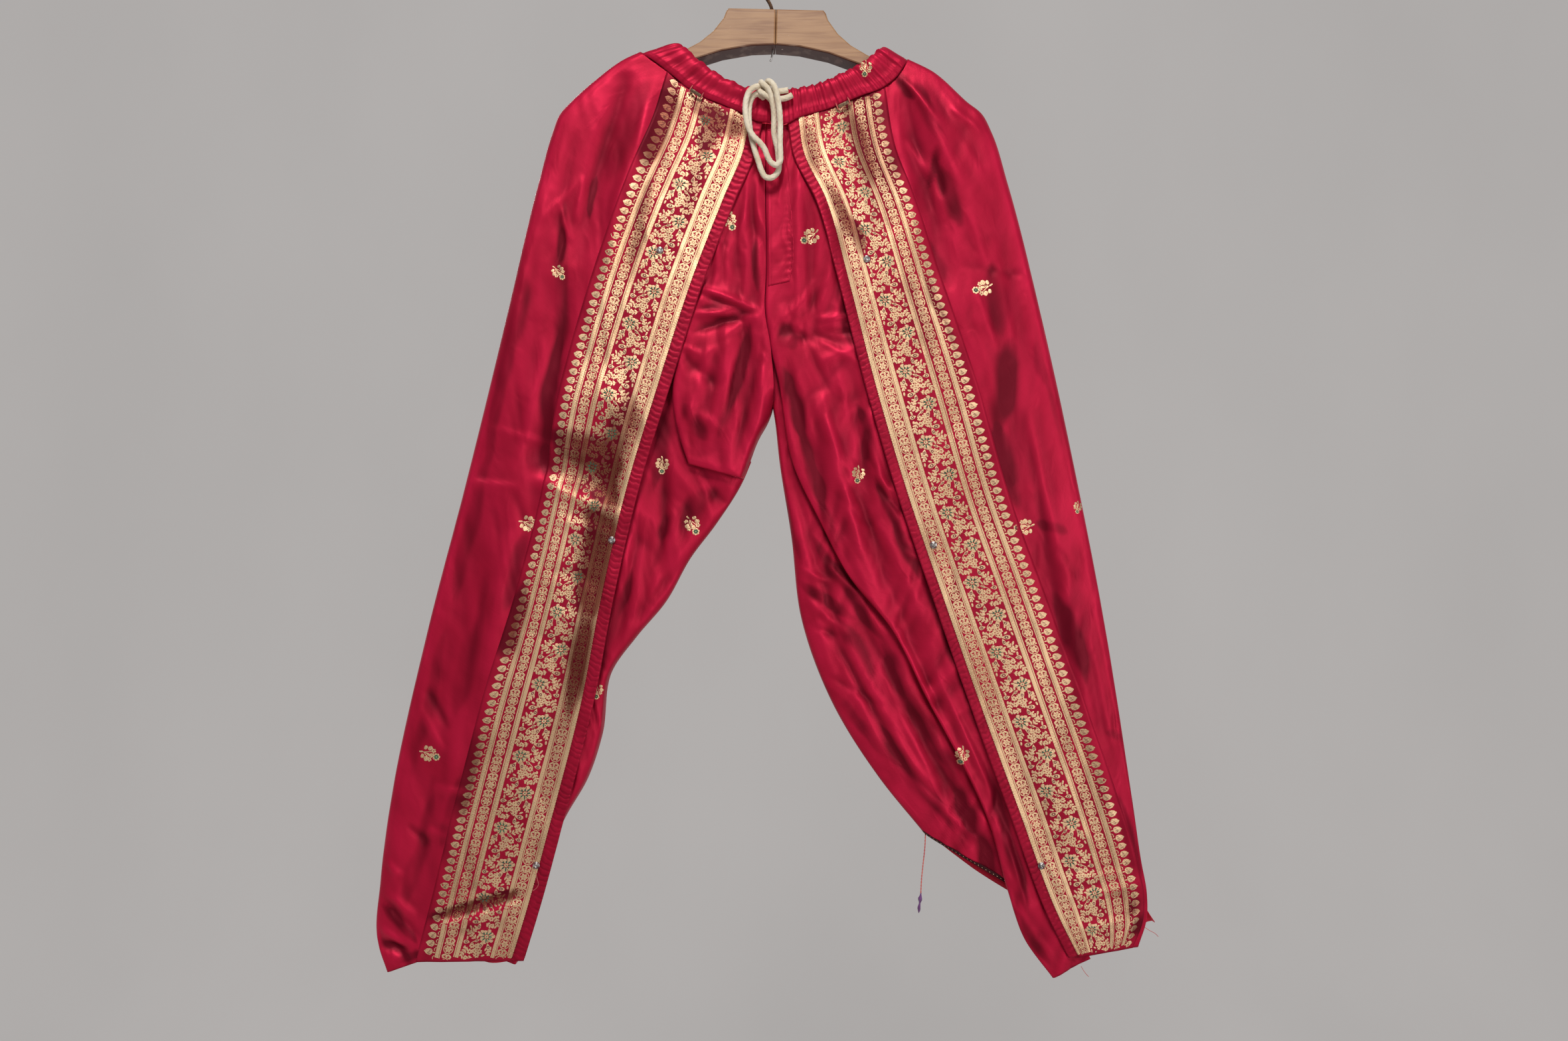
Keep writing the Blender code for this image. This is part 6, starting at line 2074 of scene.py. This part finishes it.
def consistent(points: Array, triangles: Array) -> Array:
    """Triangles turned so that all faces of a closed solid look out.

    Args:
        points, triangles: of the solid.

    Returns:
        The triangles.
    """
    mesh = bpy.data.meshes.new("turned")
    mesh.from_pydata(points.tolist(), [], triangles.tolist())
    work = bmesh.new()
    work.from_mesh(mesh)
    bmesh.ops.recalc_face_normals(work, faces=work.faces)
    found = np.array([[v.index for v in f.verts] for f in work.faces])
    work.free()
    bpy.data.meshes.remove(mesh)
    return found


def bundle(name: str, lines: list[Table], radius: float, finish: Material) -> None:
    """Short threads as one piece: a tube about the smooth curve through each line, thinner at both ends.

    Args:
        name: of the piece.
        lines: the way of each thread.
        radius: of its middle.
        finish: its material.
    """
    rows, around = 10, 6
    body = grid_faces(rows, around, wrap=True)
    thick = radius * np.clip(np.sin(np.linspace(0.25, math.pi - 0.25, rows)) * 1.6, 0.3, 1)
    curves = [smooth_curve(line, np.linspace(0, 1, rows)) for line in lines]
    points = np.vstack([rings(curve, thick, around, (0.31, 0.2, 0.93)) for curve in curves]).reshape(-1, 3)
    faces = np.vstack([body + rows * around * k for k in range(len(lines))])
    shown(mesh_object(name, points, faces, [finish], points[:, [0, 2]]), "pink_thread")


@dataclass
class Trims:
    """Sprigs on the silk, press studs, hook bars, the fly placket, the drape's hem and loose threads."""
    finishes: Finishes

    def sprigs(self, surfaces: dict[str, Surface]) -> None:
        """One mesh of sprigs for each panel that has them.

        Args:
            surfaces: of the panels and the casing, by name.
        """
        for name, places in BUTAS.items():
            woven, facing = Weaving(), 1.0 if name.startswith("back") else -1.0
            for x, z, turn, size in places:
                woven.place(buta(), np.zeros((1, 2)), Patch(surfaces[name], x, z), turn, size)
            woven.build(f"{name}_sprigs", self.finishes.woven, facing=facing)

    def stud(self, name: str, surface: Surface, x: float, z: float) -> None:
        """A press stud: a turned profile standing on the cloth, sewn down by thread in four places.

        The rim's radius also rises a little between the threads.

        Args:
            name: of the solid that it stands for.
            surface: the band's cloth.
            x, z: its place.
        """
        point, normal = surface.front_at(np.array([float(x)]), np.array([float(z)]), 9.0)
        out = normal[0]
        side = unit(np.cross(out, [0, 0, 1.0]))
        base, up = point[0] + 0.45 * out, np.cross(side, out)
        radius, height = smooth_curve(STUD_PROFILE, np.linspace(0, 1, 40)).T[..., None]
        turn = full_turn(48)
        radius = radius * (1 + 0.02 * np.cos(4 * turn) * (radius > 3.5))
        round_it = np.cos(turn)[:, None] * side + np.sin(turn)[:, None] * up
        grid = base + radius[..., None] * round_it + height[..., None] * out
        faces = grid_faces(40, 48, wrap=True)[:, ::-1]
        made = mesh_object(f"{name}_stud", grid.reshape(-1, 3), faces, [self.finishes.steel])
        shown(made, "stud_steel", name)
        rays = [polar(1, 45 + 90 * (k // 3) + 13 * (k % 3 - 1)) @ [side, up] for k in range(12)]
        lines = [[base + ray * r + out * h for r, h in STUD_THREAD] for ray in rays]
        bundle(f"{name}_thread", lines, 0.22, self.finishes.shade)

    def hook_bar(self, node: str) -> None:
        """A trouser-hook bar: a flat strap over two feet, with thread round each foot.

        Args:
            node: the solid that it stands for and lies along.
        """
        vertices = np.array([v.co for v in bpy.data.objects[node].data.vertices]) / MM
        middle = vertices.mean(axis=0)
        axes = np.linalg.svd(vertices - middle, full_matrices=False)[2]
        along, out = axes[0], axes[2] * -np.sign(axes[2][1])
        wide, base = np.cross(out, along), middle - 0.6 * out
        rows, around = 60, 20
        way, height = smooth_curve(BAR_LINE, np.linspace(0, 1, rows)).T[..., None]
        centres = base + way * along + height * out
        lift = np.cross(wide, unit(np.gradient(centres, axis=0)))
        lift *= np.sign(lift @ out)[:, None]
        turn = full_turn(around)
        broad = 1.7 * np.sign(np.cos(turn)) * np.abs(np.cos(turn)) ** 0.35
        grid = centres[:, None] + broad[:, None] * wide + 0.45 * np.sin(turn)[:, None] * lift[:, None]
        points = np.vstack([grid.reshape(-1, 3), grid[0].mean(axis=0), grid[-1].mean(axis=0)])
        index = np.arange(around)
        starts = (0, (rows - 1) * around)
        caps = [np.stack([np.full(around, rows * around + k), at + index, at + np.roll(index, -1)], axis=1)
                for k, at in enumerate(starts)]
        triangles = np.vstack([halved(grid_faces(rows, around, wrap=True)), *caps])
        strap = mesh_object(f"{node}_strap", points, consistent(points, triangles), [self.finishes.brass])
        shown(strap, "bar_brass", node)
        lines = []
        for end in (-1, 1):
            for k in range(5):
                at = base + (6.8 + 0.3 * (k % 3 - 1)) * end * along + wide * (0.5 * (k - 2))
                lines.append([at + wide * (s * 2.9 + 0.4 * (k - 2)) + out * h for s, h in BAR_THREAD])
        bundle(f"{node}_thread", lines, 0.3, self.finishes.pink)

    def fly(self) -> None:
        """The stitched strip on the centre seam, puckered towards its foot."""
        surface = Loft(FLY_LEFT, FLY_RIGHT, even(0, 1, 3), FLY_DEPTH, **FRONT_RIGHT_RELIEF, width=24,
                       length=160, proud=0.12).surface(24, 90)
        t, q = surface.flat[..., 1], np.linspace(0, 1, 24)[None, :]
        rows = np.exp(-((q - 0.09) / 0.035) ** 2) + np.exp(-((q - 0.9) / 0.035) ** 2)
        waves = np.sin(2 * math.pi * t / 7.3 + 3 * np.sin(t / 17) + 2 * q)
        pucker = 0.3 * waves * (np.exp(-((q - 0.9) / 0.2) ** 2) + 0.1)
        surface.points[..., 1] += 0.35 * rows - pucker * np.clip((t - 60) / 90.0, 0.1, 1)
        piece = cloth_object("fly_placket_silk", Surface(surface.points), self.finishes.silks, "crimson_silk",
                             ("fly_placket",), 0.2)

    def hem_trim(self) -> None:
        """The dark narrow hem of the drape, partly the trim's own dark colour and partly painted shadow: a
        rolled edge below the drape's last row, with woven dots.
        """
        width = 140.0
        loft = Loft(**DRAPE, rows=[(0.9905, 1), (1, 1)], width=width, length=560, proud=0.4)
        surface = loft.surface(120, 10)
        piece = cloth_object("drape_hem_trim", surface, [self.finishes.hem_trim], "crimson_silk",
                             ("drape_hem",), 1.0)
        dots, places = Weaving(), np.arange(3.0, 138.0, 4.3)
        dots.place(Figure().put(petal(-0.55, 0.55, 0.8, 0.6), rise=0.4),
                   np.stack([places, np.full(len(places), 3.0)], axis=1), Carrier(surface, True, width, 5.0))
        dots.build("drape_hem_dots", [self.finishes.zari])

    def loose_threads(self) -> None:
        """Short loose threads at a stud and at the hems."""
        for name, route in LOOSE_THREADS.items():
            line = smooth_curve(route, np.linspace(0, 1, 24))
            made = tube_mesh(f"loose_thread_{name}", line, np.full(24, 0.28), 6, self.finishes.pink)
            shown(made, "pink_thread")


@dataclass
class Drawstring:
    """The bow: two cotton cords, each round one loop and out to its free end, their knot, and a thread."""
    finishes: Finishes
    diameter: float = 6.0
    lay: float = 5.2              # along the cord, for one turn of a strand
    step: float = 0.65            # between rings
    frayed: float = 2.4           # length of the spread end
    thread_length: float = 63.0
    thread_lay: float = 3.4

    def braided(self, name: str, route: Table, fray: bool = True) -> tuple[Piece, Array]:
        """A braided cord about the smooth curve through a route.

        The radius is 0.94 of the cord's, plus a relief of two crossing sets of strands that wind opposite
        ways: the greater of two cosines of the turn plus and minus the way along.

        Args:
            name: of the piece.
            route: the cord's middle.
            fray: whether its end spreads.

        Returns:
            The piece and the points of its middle.
        """
        length = way_along(smooth_curve(route, np.linspace(0, 1, 200)))[-1]
        count = int(length / self.step)
        centres = smooth_curve(route, np.linspace(0, 1, count))
        turn = full_turn(20)[None, :]
        t = np.linspace(0, length, count)[:, None]
        one, two = (np.cos(5 * turn + way * 2 * math.pi * t / self.lay) for way in (1, -1))
        radius = self.diameter / 2 * (0.94 + 0.06 * np.maximum(one, two))
        if fray:
            spread = 1 + 0.06 * np.sin(9 * turn) * (1 - (length - t) / self.frayed)
            radius = radius * np.where(length - t < self.frayed, spread, 1.0)
        return tube_mesh(name, centres, radius, 20, self.finishes.cord, (0.2, 1.0, 0.1)), centres

    def build(self) -> None:
        """Makes both cords and the knot."""
        knot, _ = self.braided("drawstring_knot_wrap", KNOT_WRAP, False)
        shown(knot, "cotton_cord", "drawstring_knot")
        for name, route, nodes, pieces in (
            ("drawstring_upper", UPPER_CORD, ("drawstring_loop_front", "drawstring_end_upper"), [knot]),
            ("drawstring_lower", LOWER_CORD, ("drawstring_loop_back", "drawstring_end_lower"), []),
        ):
            cord, centres = self.braided(name, route)
            shown(cord, "cotton_cord", *nodes)
        self.thread()

    def thread(self) -> None:
        """The loose thread at the drape's hem: two plies twisted together, and a frayed knot at its end."""
        centres = smooth_curve(THREAD_ROUTE, np.linspace(0, 1, 120))
        turn = full_turn(12)[None, :]
        t = np.linspace(0, self.thread_length, 120)[:, None]
        radius = 0.55 + 0.15 * np.cos(2 * turn + 2 * math.pi * t / self.thread_lay)
        tail = tube_mesh("hem_thread", centres, radius, 12, self.finishes.pink)
        shown(tail, "pink_thread", "thread_tail")
        lower = smooth_curve(THREAD_KNOT, np.linspace(0, 1, 60))
        t = np.linspace(0, 1, 60)[:, None]
        swell = 0.7 + 1.5 * np.exp(-((t - 0.3) / 0.14) ** 2) + 0.9 * np.exp(-((t - 0.75) / 0.16) ** 2)
        radius = swell * (1 + 0.16 * np.cos(3 * turn + 14 * t)) * np.clip((1.02 - t) * 9, 0.25, 1)
        knot = tube_mesh("hem_thread_knot", lower, radius, 12, self.finishes.purple)
        shown(knot, "pink_thread", "thread_knot")


@dataclass
class Hanger:
    """The wooden hanger: its solids keep their shape and get their finishes."""
    finishes: Finishes

    def build(self) -> None:
        """Gives wood to the halves, browned wire to the hook and steel to the pin."""
        for node, finish in (("hanger_left", self.finishes.wood), ("hanger_right", self.finishes.wood),
                             ("hanger_hook", self.finishes.wire), ("hanger_pin", self.finishes.steel)):
            for slot in bpy.data.objects[node].material_slots:
                slot.material = finish
            log.info("%s keeps its solid", node)


@dataclass
class Studio:
    """Pale floor and wall, soft lights and the camera."""
    camera_at: Triple = (0.0082, -1.24, -0.591)
    lens: float = 27.24
    wall_y: float = 2.3
    floor_z: float = -2.15

    def camera(self) -> None:
        """A level camera in front of the middle of the garment."""
        data = bpy.data.cameras.new("camera")
        data.lens, data.sensor_width = self.lens, 36.0
        made = bpy.data.objects.new("camera", data)
        made.location = self.camera_at
        made.rotation_euler = (math.pi / 2, 0, 0)
        bpy.context.scene.collection.objects.link(made)
        bpy.context.scene.camera = made

    def cove(self) -> None:
        """A floor that curves up into a wall: straight, then a quarter circle, then straight up."""
        radius, bend = 0.8, np.linspace(0, math.pi / 2, 24)
        y = np.concatenate([[-4.5], self.wall_y - radius + radius * np.sin(bend), [self.wall_y]])
        z = np.concatenate([[0.0], radius - radius * np.cos(bend), [5.5]]) + self.floor_z
        points = [(x, *place) for place in zip(y, z) for x in (-6, 6)]
        mesh_object("cove", np.array(points) / MM, grid_faces(len(y), 2), [WallFinish().make()])

    def area(self, name: str, at: Triple, aim: Triple, size: float, power: float) -> None:
        """A square soft light.

        Args:
            name: of the light.
            at, aim: where it is and what it points at.
            size: of its side, in metres.
            power: in watts.
        """
        data = bpy.data.lights.new(name, "AREA")
        data.size, data.energy = size, power
        made = bpy.data.objects.new(name, data)
        made.location = at
        made.rotation_euler = (Vector(aim) - Vector(at)).to_track_quat("-Z", "Y").to_euler()
        bpy.context.scene.collection.objects.link(made)

    def build(self) -> None:
        """Sets the world, the lights, the cove and plain colours."""
        bpy.context.scene.view_settings.view_transform = "Standard"
        world = bpy.data.worlds.new("studio")
        bpy.context.scene.world = world
        world.use_nodes = True
        world.node_tree.nodes["Background"].inputs[0].default_value = (0.92, 0.96, 1.0, 1.0)
        world.node_tree.nodes["Background"].inputs[1].default_value = 0.22
        self.area("key", (-0.2, -2.6, 2.0), (0, 0, -0.6), 0.9, 90)
        self.area("fill", (1.5, -2.3, -0.6), (0, 0, -0.8), 1.2, 20)
        self.area("back_fill", (-0.8, 2.25, 0.7), (-0.8, 0, 0.7), 1.2, 30)
        self.cove()


def main() -> None:
    """Builds the camera and cords first, then the cloth, the trims, the hanger and the studio."""
    logging.basicConfig(level=logging.INFO, format="%(name)s: %(message)s")
    studio = Studio()
    studio.camera()
    finishes = Finishes()
    Drawstring(finishes).build()
    casings = Casing(finishes).build()
    surfaces = Panels(finishes).build()
    trims = Trims(finishes)
    for cut in BAND_CUTS:
        band = ZariBand(finishes, cut).build()
        for k, (x, z) in enumerate(SNAPS[cut.side], 1):
            trims.stud(f"snap_{cut.side.value}_{k}", band, x, z)
        trims.hook_bar(f"hook_bar_{cut.side.value}")
    trims.fly()
    trims.hem_trim()
    trims.sprigs(surfaces | casings)
    trims.loose_threads()
    Hanger(finishes).build()
    studio.build()


if __name__ == "__main__":
    main()
